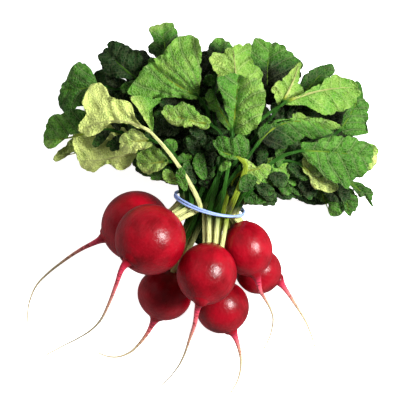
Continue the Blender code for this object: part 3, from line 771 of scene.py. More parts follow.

# %% [markdown]
# The fifth row has two blades in the middle that are painted nearly black as shade, a pale one at the
# left and small green ones at the right.

# %% Fifth row
LEAVES.append((
    (((-51, 38, 16), (-83.5, 28.5, 4), 1, 2, 0.55, (6.5, -2), (7, -2), 1.0),
     {"tones": (0.96, 0.92), "under": 1.0},
     ((-53, 39), (-61, 44), (-70, 41.5), (-77, 36), (-82, 31), (-83.5, 27), (-80, 26.5), (-72, 31),
      (-62, 31))),
    (((-24, 68, 22), (-41.5, 86.5, 9), 0, 3, 0.60, (9, -3), (9, -3), 1.2), {"tones": (0.03, 0.03)}, ()),
    (((-1, 62, 24), (-6, 88, 9), 1, 3, 0.55, (11, -3), (11, -3), 1.4), {"tones": (0.02, 0.02)}, ()),
    (((54, 61, 28), (72.5, 81, 16), 1, 2, 0.60, (5.5, 1), (5.5, 1), 0.6),
     {"tones": (0.22, 0.34), "fold": 2.4},
     ((52, 61), (54, 70), (56, 74.5), (59, 77), (62.5, 78.5), (67.5, 80.5), (72, 80.5), (73.5, 77),
      (70, 71), (63, 63))),
    (((64, 13, 18), (71.5, -3.5, 5), 0, 2, 0.55, (5.5, -2), (5.5, -2), 0.8),
     {"tones": (0.46, 0.52)},
     ((64, 12), (68, 12), (74, 9), (79, 5), (79, -1), (75, -4), (70.5, -3), (69, 2), (64, 6))),
    (((77, 14, 14), (82, -3.5, 4), 0, 2, 0.55, (5, -2), (5, -2), 0.8),
     {"tones": (0.42, 0.38)},
     ((76, 13), (82, 12), (86, 8), (86.5, 2), (84, -3), (80.5, -4), (78.5, 0), (77, 7))),
))
print("fifth row:", len(LEAVES[-1]))

# %% [markdown]
# The bottom row lies on the table. Its wide dark blades close the gaps inside the bunch; they are
# painted nearly black, as shade.

# %% Leaves lying on the table
LEAVES.append((
    (((-35, 52, 17), (-64, 62, 3), 1, 4, 0.60, (13, -4), (13, -4), 1.4), {"tones": (0.10, 0.16)},
     ((-20, 34), (-24, 50), (-30, 62), (-38, 68), (-46, 74), (-53, 78), (-60, 77), (-63, 71),
      (-66, 60), (-64, 48), (-55, 38), (-42, 30), (-30, 27))),
    (((8, 56, 19), (11, 80, 3), 1, 4, 0.60, (13, -4), (13, -4), 1.4),
     {"tones": (0.03, 0.03),
      "lobes": ((((2, 0, 19), (-1, -20, 13), 0, 1, 0.5, (6, 0), (6.5, 0), 0.8), (0.05, 0.12), ()),)},
     ((-12, 40), (-10, 60), (-8, 80), (0, 88), (10, 92), (20, 88), (26, 78), (28, 62), (32, 48),
      (34, 36), (22, 28), (8, 26), (-4, 28))),
    (((36, 63, 19), (38, 93, 4), 1, 4, 0.60, (14, -5), (15, -6), 1.8),
     {"tones": (0.36, 0.28), "tip": 0.26, "dim": 0.6, "fold": 3.4},
     ((26, 92), (29.5, 96), (36, 93.5), (38.5, 94), (48, 90), (52.5, 84.5), (56, 81), (54, 72),
      (44, 64), (34, 62), (25, 68), (23, 82))),
    (((53, 44, 17), (82, 46, 3), 1, 4, 0.60, (14, -4), (13, -4), 1.4), {"tones": (0.06, 0.08)},
     ((30, 24), (34, 44), (42, 56), (54, 62), (68, 62), (80, 58), (85, 48), (82, 36), (72, 28),
      (56, 22), (42, 17), (32, 18))),
    (((29, 13, 17), (69, 5, 3), 1, 2, 0.60, (5, -2), (5, -2), 0.8),
     {"tones": (0.24, 0.18), "stalk": 0.75},
     ((30, 13.5), (44, 14.5), (60, 13.5), (70, 9), (72, 4), (66, 2), (58, 3), (50, 6), (40, 10))),
))
print("leaves lying on the table:", len(LEAVES[-1]))

# %% [markdown]
# ## Leaf tissue
# A radish leaf is thin and crinkled, matt green with a faint wax gloss above, and paler and duller
# below. A pale midrib feeds side veins that run out and forwards, and between them lies a net of
# fine veins. "blade" holds each point's place on the flat leaf in millimetres, with the tone in its
# third number; "growth" holds stalk (0 or 1), reach from the crown (0) to the blade (1) and the tip
# (2), and the underside; "vein" counts side veins, so that a whole number is the middle of one.

# %% Leaf tissue
NET_SIZE = 1.5  # mm, coarser than the real net, so that it shows
MOTTLE_SIZE = 7.0
GRAINS_PER_MM = 0.9


def leaf_tissue():
    finish, tree, shader = new_finish("leaf_tissue")
    blade = add_node(tree, "Attribute", attribute_name="blade").outputs["Vector"]
    growth = add_node(tree, "Attribute", attribute_name="growth").outputs["Vector"]
    vein = add_node(tree, "Attribute", attribute_name="vein").outputs["Fac"]
    tone = add_node(tree, "SeparateXYZ", {0: blade}).outputs["Z"]
    stalk, reach, under = add_node(tree, "SeparateXYZ", {0: growth}).outputs
    flat = add_node(tree, "Mapping", {"Vector": blade, "Scale": (1, 1, 0.0)}).outputs[0]
    mottle = add_node(tree, "TexNoise", {"Vector": flat, "Scale": 1 / MOTTLE_SIZE, "Detail": 4.0})
    fine = add_node(tree, "TexNoise", {"Vector": flat, "Scale": GRAINS_PER_MM, "Detail": 4.0})
    shift = add_node(tree, "MapRange", {0: mottle.outputs[0], 1: 0.3, 2: 0.7, 3: -0.09, 4: 0.09})
    shifted = add_node(tree, "Math", {0: tone, 1: shift.outputs[0]}, operation="ADD")
    grain = add_node(tree, "MapRange", {0: fine.outputs[0], 1: 0.3, 2: 0.7, 3: -0.06, 4: 0.06})
    toned = add_node(
        tree, "Math", {0: shifted.outputs[0], 1: grain.outputs[0]}, operation="ADD", use_clamp=True
    )
    green = add_node(tree, "ValToRGB", {"Fac": toned.outputs[0]})
    stops = green.color_ramp.elements
    stops[0].position, stops[0].color = 0.0, linear("#040e03")
    stops[1].position, stops[1].color = 1.0, linear("#c0cc72")
    for place, swatch in ((0.2, "#12340e"), (0.4, "#2c5f12"), (0.6, "#4e8526"), (0.8, "#789a3c")):
        stops.new(place).color = linear(swatch)
    from_vein = add_node(tree, "Math", {0: vein, 1: 0.5}, operation="PINGPONG")
    line = add_node(tree, "MapRange", {0: from_vein.outputs[0], 1: 0.015, 2: 0.06, 3: 1.0, 4: 0.0})
    # painted shade: the green is darkened in the valleys beside each side vein, strongly on the upper
    # side and faintly on the underside
    vein_shade_strength = add_node(tree, "MapRange", {0: under, 3: 0.55, 4: 0.12})
    painted_vein_shade = add_node(
        tree, "MapRange", {0: from_vein.outputs[0], 1: 0.03, 2: 0.24, 3: vein_shade_strength.outputs[0], 4: 0.0}
    )
    net = add_node(
        tree, "TexVoronoi", {"Vector": flat, "Scale": 1 / NET_SIZE}, feature="DISTANCE_TO_EDGE"
    )
    thread = add_node(tree, "MapRange", {0: net.outputs["Distance"], 1: 0.02, 2: 0.20, 3: 0.55, 4: 0.0})
    drawn = add_node(tree, "Math", {0: line.outputs[0], 1: thread.outputs[0]}, operation="MAXIMUM")
    shaded = add_node(
        tree, "Mix",
        {FACTOR: painted_vein_shade.outputs[0], COLOUR_A: green.outputs["Color"], COLOUR_B: linear("#071c0a")},
        data_type="RGBA",
    )
    pale_by = add_node(tree, "MapRange", {0: tone, 1: 0.1, 2: 0.9, 3: 0.10, 4: 0.42})
    pale = add_node(
        tree, "Mix",
        {FACTOR: pale_by.outputs[0], COLOUR_A: green.outputs["Color"], COLOUR_B: linear("#cfd99a")},
        data_type="RGBA",
    )
    veined_by = add_node(tree, "Math", {0: drawn.outputs[0], 1: 0.6}, operation="MULTIPLY")
    veined = add_node(
        tree, "Mix",
        {FACTOR: veined_by.outputs[0], COLOUR_A: shaded.outputs[MIXED], COLOUR_B: pale.outputs[MIXED]},
        data_type="RGBA",
    )
    stem = add_node(tree, "ValToRGB", {"Fac": tone})
    stops = stem.color_ramp.elements
    stops[0].position, stops[0].color = 0.0, linear("#12300c")
    stops[1].position, stops[1].color = 1.0, linear("#cdd28c")
    for place, swatch in ((0.3, "#2b5a18"), (0.5, "#5f8228"), (0.62, "#7c9028"), (0.8, "#a6b052")):
        stops.new(place).color = linear(swatch)
    by_crown = add_node(tree, "MapRange", {0: reach, 1: 0.12, 2: 0.27, 3: 1.0, 4: 0.0})
    pithy = add_node(
        tree, "Mix",
        {FACTOR: by_crown.outputs[0], COLOUR_A: stem.outputs["Color"], COLOUR_B: linear("#c9cc86")},
        data_type="RGBA",
    )
    whole = add_node(
        tree, "Mix",
        {FACTOR: stalk, COLOUR_A: veined.outputs[MIXED], COLOUR_B: pithy.outputs[MIXED]},
        data_type="RGBA",
    )
    tree.links.new(whole.outputs[MIXED], shader.inputs["Base Color"])
    wax = add_node(tree, "MapRange", {0: under, 3: 0.42, 4: 0.60})
    tree.links.new(wax.outputs[0], shader.inputs["Roughness"])
    raised = add_node(tree, "Math", {0: thread.outputs[0], 1: fine.outputs[0]}, operation="ADD")
    relief = add_node(tree, "Bump", {"Height": raised.outputs[0], "Strength": 1.0, "Distance": 0.7 * MM})
    tree.links.new(relief.outputs[0], shader.inputs["Normal"])
    shader.inputs["IOR"].default_value = 1.42
    shader.inputs["Specular IOR Level"].default_value = 0.16
    return finish


tissue = leaf_tissue()
print("finish:", tissue.name)

# %% [markdown]
# ## Leaf blades
# A blade starts as a flat square grid. Its corners are rounded off to a disc, so that the cells stay
# even up to the margin, and the disc is stretched to the leaf's outline, with small teeth round it.
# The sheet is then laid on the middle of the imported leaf, read by casting rays at it, and gets its
# relief: a fold along the midrib, bulges between the side veins, blisters, and a ruffled margin. Last
# it is raised wherever it would dip into a leaf below. A cloth simulation could crinkle it too, but
# wouldn't keep thirty-six leaves apart.

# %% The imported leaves' surfaces
SPREAD_STEPS = np.linspace(-1, 1, 9)
LENGTH_STEPS = np.linspace(0, 1, 15)
WITHIN = 0.92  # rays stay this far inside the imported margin


def blade_outline(share, widest):
    """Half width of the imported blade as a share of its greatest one."""
    if share < widest:
        return 0.12 + 0.88 * math.sin(math.pi / 2 * share / widest) ** 1.15
    return math.sqrt(max(0.0, 1 - ((share - widest) / (1 - widest)) ** 2.2))


def packed_tree(name):
    """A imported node's mesh, ready for rays."""
    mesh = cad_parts[name].data
    return BVHTree.FromPolygons([v.co for v in mesh.vertices], [p.vertices for p in mesh.polygons])


def middle_height(tree, x, y, otherwise):
    """The height in mm of the middle of a packed leaf at x, y, or otherwise where it isn't there."""
    above = tree.ray_cast(Vector((x * MM, y * MM, 0.2)), Vector((0, 0, -1)))[0]
    below = tree.ray_cast(Vector((x * MM, y * MM, -0.1)), Vector((0, 0, 1)))[0]
    if above is None or below is None:
        return otherwise
    return (above.z + below.z) / 2 / MM


def leaf_axes(leaf):
    """(base, way ahead, way to the left, length) of a leaf, seen from above."""
    base, tip = np.array(leaf[0][:2], float), np.array(leaf[1][:2], float)
    length = np.linalg.norm(tip - base)
    ahead = (tip - base) / length
    return base, ahead, np.array([-ahead[1], ahead[0]]), length


def bow_at(leaf, share):
    """How far the midrib bows to the left, going on straight past its ends."""
    past_ends = np.where(share < 0, 4 * share, 4 * (1 - share))
    return leaf[2] * np.where((share < 0) | (share > 1), past_ends, 4 * share * (1 - share))


def from_above(leaf, along, across):
    """Where places on the flat leaf, in mm along and to the left of its midrib, lie from above."""
    base, ahead, left, length = leaf_axes(leaf)
    return base + along[..., None] * ahead + (across + bow_at(leaf, along / length))[..., None] * left


def onto_leaf(leaf, spots):
    """The same, the other way round."""
    base, ahead, left, length = leaf_axes(leaf)
    along = (spots - base) @ ahead
    return along, (spots - base) @ left - bow_at(leaf, along / length)


def packed_surface(name, leaf):
    """Heights in mm of a packed leaf, over LENGTH_STEPS along it and SPREAD_STEPS across it."""
    tree = packed_tree(name)
    length = leaf_axes(leaf)[3]
    middle = len(SPREAD_STEPS) // 2
    heights = np.zeros((len(LENGTH_STEPS), len(SPREAD_STEPS)))
    for i, share in enumerate(LENGTH_STEPS):
        share = min(max(share, 0.02), 0.98)
        full = blade_outline(share, leaf[4])
        for order in range(len(SPREAD_STEPS)):
            j = middle + (order + 1) // 2 * (1 if order % 2 else -1)  # from the midrib outwards
            half = leaf[5][0] if SPREAD_STEPS[j] > 0 else leaf[6][0]
            if j == middle:
                inward = blade_midrib(leaf, share).z
            else:
                inward = heights[i, j + (1 if j < middle else -1)]
            across = SPREAD_STEPS[j] * WITHIN * half * full
            spot = from_above(leaf, np.array([share * length]), np.array([across]))[0]
            heights[i, j] = middle_height(tree, spot[0], spot[1], inward)
    return heights


first_surface = packed_surface("leaf_c1", LEAVES[1][3][0])
print("a packed leaf lies", first_surface.min().round(1), "to", first_surface.max().round(1), "mm up")

# %% [markdown]
# A map of heights, one number for each square millimetre of table, holds the top of all the leaves
# that are laid so far. The bottom row of the bundle is laid first.

# %% Laying leaves on each other
MAP_HALF = 125  # mm
FLOOR_GAP = 0.3
LEAF_GAP = 0.12
BLADE_THICKNESS = 0.42  # thicker than the real 0.3 mm, so that a margin shows
RAISING = 80  # rounds of averaging
heights_so_far = np.full((2 * MAP_HALF, 2 * MAP_HALF), -1e3)


def spread(values, rounds, least=None):
    """Averages each value with its neighbours again and again, never below least."""
    for _ in range(rounds):
        padded = np.pad(values, 1, mode="edge")
        values = (padded[:-2, 1:-1] + padded[2:, 1:-1] + padded[1:-1, :-2] + padded[1:-1, 2:]) / 4
        if least is not None:
            values = np.maximum(values, least)
    return values


def map_cells(xy):
    """The map's cell under each place."""
    return np.clip(np.round(xy).astype(int) + MAP_HALF, 1, 2 * MAP_HALF - 2)


def laid_clear(xy, z):
    """z raised, smoothly, until the sheet lies on everything below it."""
    cells = map_cells(xy)
    below = heights_so_far[cells[..., 0], cells[..., 1]]
    need = np.maximum(np.maximum(below + LEAF_GAP, FLOOR_GAP) + BLADE_THICKNESS / 2 - z, 0)
    return z + spread(need, RAISING, need)


def add_to_map(xy, z):
    """Adds a sheet's top to the map, one cell wider all round."""
    cells = map_cells(xy)
    for step_x in (-1, 0, 1):
        for step_y in (-1, 0, 1):
            np.maximum.at(heights_so_far, (cells[..., 0] + step_x, cells[..., 1] + step_y), z)


print("map:", heights_so_far.shape)

# %% [markdown]
# The margin is read as a distance from the blade's middle at every angle: from the outline's corners
# where there are some, and otherwise from four quarter ovals. Teeth and notches are cut into it.

# %% Margins
RIM_STEPS = 360
TOOTH = 5.2  # mm from tooth to tooth
TOOTH_DEPTH = 0.7
LOBE = 14.0
LOBE_DEPTH = 1.5
SWAY = 2.2  # how far teeth and lobes stray from even steps


def outline_rim(leaf, corners, middle):
    """Distance from the middle to the margin at RIM_STEPS angles, from the corners of an outline."""
    loop = [*corners, *corners[:3]]
    smooth, _ = smooth_way([(x, y, 0) for x, y in loop], 0.4)
    along, across = onto_leaf(leaf, smooth[:, :2])
    angle = np.arctan2(across - middle[1], along - middle[0])
    reach = np.hypot(across - middle[1], along - middle[0])
    slots = ((angle / (2 * math.pi) % 1) * RIM_STEPS).astype(int) % RIM_STEPS
    rim = np.zeros(RIM_STEPS)
    np.maximum.at(rim, slots, reach)
    known = np.flatnonzero(rim)
    rim = np.interp(np.arange(RIM_STEPS), known, rim[known], period=RIM_STEPS)
    for _ in range(4):
        rim = (np.roll(rim, 1) + 2 * rim + np.roll(rim, -1)) / 4
    return rim


def oval_rim(leaf, middle):
    """The same for a leaf without corners: four quarter ovals."""
    length = leaf_axes(leaf)[3]
    middle = middle[0]
    angle = np.arange(RIM_STEPS) / RIM_STEPS * 2 * math.pi
    cos, sin = np.cos(angle), np.sin(angle)
    reach = np.where(cos > 0, length - middle, middle)
    side = np.where(sin > 0, leaf[5][0], leaf[6][0])
    power = np.where(cos > 0, 2.2, 1.8)
    return (np.abs(cos / reach) ** power + np.abs(sin / side) ** power) ** (-1 / power)


def notches(rim, dice):
    """How far the margin is cut in at each angle: lobes with teeth on them, none at the stalk."""
    angle = np.arange(RIM_STEPS) / RIM_STEPS * 2 * math.pi
    x, y = rim * np.cos(angle), rim * np.sin(angle)
    steps = np.hypot(x - np.roll(x, 1), y - np.roll(y, 1))
    gone = np.cumsum(steps)
    strays = [dice.uniform(-SWAY, SWAY) for _ in range(12)] + [0]
    sway = np.interp(angle, np.linspace(0, 2 * math.pi, 13), strays)
    strengths = [dice.uniform(0.35, 1.3) for _ in range(11)]
    strength = np.interp(angle, np.linspace(0, 2 * math.pi, 11), strengths)
    tooth = (1 - np.abs(np.sin(math.pi * (gone + sway) / TOOTH))) ** 1.4
    lobe = (1 - np.abs(np.sin(math.pi * (gone + 1.5 * sway) / LOBE))) ** 2.2
    small = min(1.0, gone[-1] / 50)
    by_stalk = 1 - np.exp(-(((angle - math.pi) / 0.3) ** 2))
    return by_stalk * strength * small * (TOOTH_DEPTH * tooth + LOBE_DEPTH * lobe)


print("teeth every", TOOTH, "mm")

# %% [markdown]
# A blade's relief is the sum of a few simple shapes: a bulge between each two side veins, blisters,
# a fold along the midrib, slow swells, and a ruffle that grows towards the margin. Where the
# underside is up, the bulges and the fold are turned over.

# %% Relief
VEIN_SPACING = 6.2
VEIN_SLOPE = 0.8  # how far forwards a side vein runs for each mm outwards
FAN_STEP = 0.22  # radians between veins that fan out
BULGE = 1.5
BLISTER, COARSE_BLISTER, FINE_BLISTER = 1.4, 4.2, 2.1  # height, and two sizes
SWELL, SWELL_SIZE = 2.6, 15.0
FOLD_WIDTH = 3.5
RUFFLE_LENGTH = 15.0


def bumps(along, across, size, seed):
    """Smooth noise of about that size in mm over the flat leaf."""
    spots = zip(along.ravel(), across.ravel())
    values = [noise.noise(Vector((a / size, c / size, seed))) for a, c in spots]
    return np.array(values).reshape(along.shape)


def side_veins(along, across, bend, size, fan):
    """Counts side veins, so that whole numbers lie on them."""
    out = np.abs(across)
    if fan:
        turn = np.arctan2(out, np.maximum(along + 3, 0.1))
        return turn / FAN_STEP + 0.5 * (across > 0) + 0.5 * bend
    spacing = VEIN_SPACING * min(1.15, 0.45 + size / 45)
    ahead = along - VEIN_SLOPE * out + 0.010 * out**2
    return ahead / spacing + 0.37 * (across > 0) + 0.7 * bend


def relief(leaf, look, along, across, radius, angle, size, vein, seed, scale):
    """The blade's own hills and valleys in mm, over its packed surface."""
    out = np.abs(across)
    inside = np.clip(1 - radius**5, 0, 1) * np.clip(out / 2.5, 0, 1)
    bulge = BULGE * np.abs(np.sin(math.pi * vein)) ** 0.7 * inside
    coarse = bumps(along, across, COARSE_BLISTER, seed)
    blister = BLISTER * (0.6 * coarse + 0.4 * bumps(along, across, FINE_BLISTER, seed + 9))
    fold = look["fold"] * (1 - np.exp(-out / FOLD_WIDTH))
    swell = SWELL * bumps(along, across, SWELL_SIZE, seed + 20) * np.clip(out / 6, 0.2, 1)
    turns = max(3, round(size * 2.6 / RUFFLE_LENGTH))
    wave = np.sin(turns * angle + seed) + 0.7 * np.sin((2 * turns + 1) * angle + 2 * seed)
    ruffle = leaf[7] * wave * radius**4
    facing = -1.0 if look["under"] > 0.5 else 1.0
    over = facing * (bulge + 0.5 * fold) + 0.5 * fold * (facing > 0)
    return scale * (over + blister + swell + ruffle)


print("side veins every", VEIN_SPACING, "mm")

# %% [markdown]
# One function makes every blade, large or small, and returns its midrib for the stalk to follow.

# %% Blades
BLADE_CELL = 0.8  # mm
SMOOTHING = 10  # rounds
RIB_SPACING = 2.4
TIP_FROM, TIP_OVER = 0.62, 0.3  # shares of the length, where "tip" sets in and over which it grows
DIM_FROM, DIM_OVER = 0.6, 0.35


def sampled(surface, share, wide):
    """Reads a packed surface between its steps."""
    i = np.clip(share * (len(LENGTH_STEPS) - 1), 0, len(LENGTH_STEPS) - 1.001)
    j = np.clip((wide + 1) / 2 * (len(SPREAD_STEPS) - 1), 0, len(SPREAD_STEPS) - 1.001)
    i0, j0 = i.astype(int), j.astype(int)
    u, v = i - i0, j - j0
    return (surface[i0, j0] * (1 - u) * (1 - v) + surface[i0 + 1, j0] * u * (1 - v)
            + surface[i0, j0 + 1] * (1 - u) * v + surface[i0 + 1, j0 + 1] * u * v)


def midrib_on(leaf, along, across, z):
    """Points of the midrib, in mm, on the blade, from its base to near its tip."""
    beside = np.abs(across) < 1.2
    last = along[beside].max() if beside.any() else along.max()
    stations = np.arange(1.5, 0.93 * last, RIB_SPACING)
    nearest = [np.hypot(along - station, across).argmin() for station in stations]
    heights = np.convolve(np.pad(z.ravel()[nearest], 1, mode="edge"), (0.25, 0.5, 0.25), mode="valid")
    return np.column_stack([from_above(leaf, stations, np.zeros(len(stations))), heights])


def add_blade(shape, layers, name, leaf, look, corners, surface, scale=1.0):
    """Adds a blade to shape and returns its midrib's points, in mm."""
    dice = random.Random(name)
    length = leaf_axes(leaf)[3]
    if corners:
        middle = np.mean(onto_leaf(leaf, np.array(corners, float)), axis=1)
        rim = outline_rim(leaf, corners, middle)
    else:
        middle = (length * leaf[4], 0.0)
        rim = oval_rim(leaf, middle)
    quarter = RIM_STEPS // 4
    size = (rim[0] + rim[2 * quarter] + rim[quarter] + rim[3 * quarter]) / 2
    columns = 2 * max(6, round((rim[0] + rim[2 * quarter]) / BLADE_CELL / 2))
    rows = 2 * max(6, round((rim[quarter] + rim[3 * quarter]) / BLADE_CELL / 2))
    made = bmesh.ops.create_grid(shape, x_segments=columns, y_segments=rows, size=1.0)["verts"]
    flat = np.array([v.co[:2] for v in made])
    order = np.lexsort((flat[:, 0].round(5), flat[:, 1].round(5))).reshape(rows + 1, columns + 1)
    x, y = flat[order, 0], flat[order, 1]
    disc_x, disc_y = x * np.sqrt(1 - y**2 / 2), y * np.sqrt(1 - x**2 / 2)
    angle, radius = np.arctan2(disc_y, disc_x), np.hypot(disc_x, disc_y)
    place = (angle / (2 * math.pi) % 1) * RIM_STEPS
    cut = notches(rim, dice) * min(1.0, scale + 0.2)
    steps = np.arange(RIM_STEPS)
    reach = np.interp(place, steps, rim, period=RIM_STEPS)
    reach = reach - np.interp(place, steps, cut, period=RIM_STEPS) * radius**3
    along = middle[0] + radius * reach * np.cos(angle)
    across = middle[1] + radius * reach * np.sin(angle)

    share = np.clip(along / length, 0, 1)
    half = np.where(across > 0, leaf[5][0], leaf[6][0])
    full = np.array([blade_outline(s, leaf[4]) for s in share.ravel()]).reshape(share.shape)
    wide = np.clip(across / np.maximum(half * full, 0.5), -1, 1)
    z = spread(sampled(surface, share, wide), SMOOTHING)
    seed = dice.random() * 50
    vein = side_veins(along, across, bumps(along, across, 16.0, seed), size, look["fan"])
    z = z + relief(leaf, look, along, across, radius, angle, size, vein, seed, scale)
    xy = from_above(leaf, along, across)
    z = laid_clear(xy, z)

    # the tones are partly the leaf's own colour and partly painted light and shade: a lit and a shaded
    # half across the fold, tip lightens an end that reaches into the light, and dim darkens the base
    # where it lies in shade
    left_tone, right_tone = look["tones"]
    tone = right_tone + (left_tone - right_tone) / (1 + np.exp(-across / 1.2))
    tone = tone + look["tip"] * np.clip((share - TIP_FROM) / TIP_OVER, 0, 1)
    tone = tone - look["dim"] * np.clip((DIM_FROM - share) / DIM_OVER, 0, 1)
    values = np.stack([*np.moveaxis(xy, -1, 0), z, along, across, tone, vein], axis=-1).reshape(-1, 7)
    for index, row in zip(order.ravel(), values):
        vertex = made[index]
        vertex.co = Vector(row[:3]) * MM
        vertex[layers["blade"]] = Vector(row[3:6]) + Vector((seed * 9, 0, 0))
        vertex[layers["vein"]] = row[6]
        vertex[layers["growth"]] = (0.0, 1.0, look["under"])
    faces = list({face for vertex in made for face in vertex.link_faces})
    bmesh.ops.solidify(shape, geom=faces, thickness=BLADE_THICKNESS * MM)
    add_to_map(xy, z + BLADE_THICKNESS / 2)
    return midrib_on(leaf, along, across, z)


print("blade cells:", BLADE_CELL, "mm")

# %% [markdown]
# ## Stalks
# A stalk is a ring of points that is extruded from station to station along its way. It is broader
# than it is thick, with a shallow channel on top, and swells where it joins the crown. Beyond the
# band it gets slimmer, and it carries on through the blade as the midrib, thinner and thinner.

# %% Stalks
STALK_SIDES = 14
STATION_SPACING = 1.3
BURIED = 3.2  # how far a stalk starts inside its crown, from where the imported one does
CHANNEL = 0.30


def add_rod(shape, layers, way, widths, heights, marks):
    """Extrudes an oval ring along way (mm). marks holds the growth values and tone at each station."""
    ahead = directions(way)
    left = np.cross((0, 0, 1.0), ahead)
    left = left / np.maximum(np.linalg.norm(left, axis=1), 1e-6)[:, None]
    up = np.cross(ahead, left)
    gone = np.concatenate([[0], np.cumsum(np.linalg.norm(np.diff(way, axis=0), axis=1))])
    ring = bmesh.ops.create_circle(shape, cap_ends=True, segments=STALK_SIDES, radius=1.0)["verts"]
    edges = list({e for v in ring for e in v.link_edges})
    for k, middle in enumerate(way):
        if k:
            made = bmesh.ops.extrude_edge_only(shape, edges=edges)["geom"]
            fresh = {g for g in made if isinstance(g, bmesh.types.BMVert)}
            edges = [g for g in made if isinstance(g, bmesh.types.BMEdge)]
            ring = [next(w for e in v.link_edges for w in e.verts if w in fresh) for v in ring]
        for n, vertex in enumerate(ring):
            turn = 2 * math.pi * n / STALK_SIDES
            high = math.sin(turn)
            dip = CHANNEL * max(0.0, high) ** 3
            spot = middle + left[k] * widths[k] * math.cos(turn) + up[k] * heights[k] * (high - dip)
            vertex.co = Vector(spot) * MM
            growth, tone = marks[k]
            vertex[layers["growth"]] = growth
            # as if on a short, wide blade, so that the grain is drawn out along the stalk
            vertex[layers["blade"]] = (0.1 * gone[k], 2.5 * math.cos(turn), tone)
            vertex[layers["vein"]] = 0.5
    bmesh.ops.contextual_create(shape, geom=edges)


print("sides of a stalk:", STALK_SIDES)

# %% [markdown]
# The stalk's size and tone change along it, so they are worked out for each station before the ring
# is extruded. The midrib starts a little wider than it goes on, where the stalk runs into the blade.

# %% Stalk sizes and tones
CROWN_NARROWING = 0.72  # of the full size, at the crown
SWOLLEN, SWOLLEN_FADE = 0.35, 14  # how much thicker a stalk's foot is, and how soon that ends
RIB_START, RIB_END = 0.75, 0.14  # radius
WIDTH_LEFT, THICKNESS_LEFT = 0.96, 0.98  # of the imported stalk's, so as to stay inside it


def stalk_marks(way, count, look):
    """(widths, heights, marks) at each station: count of them up to the blade, the rest in it."""
    widths, heights, marks = [], [], []
    mean_tone = sum(look["tones"]) / 2
    rib_tone = 0.92 if look["under"] > 0.5 else 0.30 + 0.55 * mean_tone
    for k in range(len(way)):
        if k < count:
            share = k / count
            size = CROWN_NARROWING + (1 - CROWN_NARROWING) * min(1, share * 2)
            size *= 1 + SWOLLEN * math.exp(-share * SWOLLEN_FADE)
            size *= 1 - (1 - look["girth"]) * min(1.0, max(0.0, (share - 0.3) / 0.3))
            size *= 1 - 0.25 * max(0.0, (share - 0.6) / 0.4) ** 1.5
            widths.append(STALK_WIDTH / 2 * size * WIDTH_LEFT)
            heights.append(STALK_THICKNESS / 2 * size * THICKNESS_LEFT)
            tone, reach = look["stalk"], share
        else:
            share = (k - count) / max(1, len(way) - 1 - count)
            size = RIB_START * (1 - share) ** 1.2 + RIB_END
            widths.append(size * (1 + 0.25 * max(0.0, 1 - share * 5)))
            heights.append(size * 0.8)
            tone = rib_tone + (look["stalk"] - rib_tone) * max(0.0, 1 - share * 6)
            reach = 1 + share
        marks.append(((1.0, reach, look["under"]), tone))
    return widths, heights, marks


print("stalk:", STALK_WIDTH, "x", STALK_THICKNESS, "mm")

# %% [markdown]
# ## Leaflets
# A radish leaf is a large end blade with smaller lobes down its stalk, and in a tied bunch these
# crowd together over the band. They are small blades that sit on the stalk, left and right in turn,
# larger and darker on the leaves deep in the bunch; their near black is painted shade. "lobes" in
# the table are others, given one by one.

# %% Leaflets
FIRST_LEAFLET = 9.0  # mm beyond the band
LEAFLET_STEP = (4.0, 7.5)
LEAFLET_LENGTHS = ((7, 10), (7, 12), (9, 15), (10, 17), (11, 18), (11, 18))  # row by row
LEAFLET_WIDTHS = (0.20, 0.38)  # half width, as a share of the length
# painted shade: leaflet tones are nearly black, for the shade inside the bunch, and those of the upper
# rows are painted a little lighter, as more light reaches them
LEAFLET_SHADE_TONES = (0.02, 0.05, 0.1, 0.3)
UPPER_ROWS = 3  # whose leaflets are lighter


def sloping(small):
    """The surface of a small blade: straight from its base to its tip."""
    heights = np.linspace(small[0][2], small[1][2], len(LENGTH_STEPS))
    return np.outer(heights, np.ones(len(SPREAD_STEPS)))


def add_leaflets(shape, layers, name, row, stalk_way, look):
    """Small blades down a stalk, from beyond the band to near the blade."""
    dice = random.Random(name + "leaflets")
    gaps = np.linalg.norm(stalk_way - np.array(BAND_CENTRE), axis=1)
    at_band = int(gaps[: max(3, len(stalk_way) * 3 // 4)].argmin())
    k = at_band + round(FIRST_LEAFLET / STATION_SPACING)
    side = dice.choice((-1, 1))
    while k < len(stalk_way) - 3:
        ahead = stalk_way[k + 1] - stalk_way[k - 1]
        ahead = ahead / np.linalg.norm(ahead)
        left = np.array([-ahead[1], ahead[0], 0]) * side
        long = dice.uniform(*LEAFLET_LENGTHS[row])
        start = stalk_way[k] + left * 0.5
        end = start + (left * dice.uniform(0.6, 1.0) + ahead * dice.uniform(0.3, 0.9)) * long
        end[2] -= dice.uniform(0, 3)
        bow = dice.uniform(-1, 1)
        left_half, right_half = (long * dice.uniform(*LEAFLET_WIDTHS) for _ in range(2))
        small = (tuple(start), tuple(end), bow, 1, 0.58, (left_half, 0), (right_half, 0), 1.0)
        tone = dice.choice(LEAFLET_SHADE_TONES) + (0.08 if row < UPPER_ROWS else 0.0)
        mine = {**look, "tones": (tone, tone + 0.06), "fold": 1.6, "tip": 0.15}
        mine.update({"under": 0.0, "fan": False})
        add_blade(shape, layers, f"{name}_{k}", small, mine, (), sloping(small), scale=0.8)
        side = -side
        k += round(dice.uniform(*LEAFLET_STEP) / STATION_SPACING)


print("leaflets start", FIRST_LEAFLET, "mm beyond the band")

# %% [markdown]
# ## Whole leaves
# A leaf is one piece: blade, stalk with midrib, and leaflets. The stalk follows the middle of its
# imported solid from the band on, and ends in the blade's own midrib.

# %% Whole leaves
RIB_RISE, RIB_SINK = 0.3, -0.05  # mm: a midrib stands out of the underside, and is flush on top


def along_chord(points, first, pull):
    """Pulls the points after first towards the straight line to the last, as seen from above."""
    last = len(points) - 1
    for k in range(first, last):
        chord = points[first].lerp(points[last], (k - first) / (last - first))
        points[k].xy = points[k].xy.lerp(chord.xy, pull)
    return points


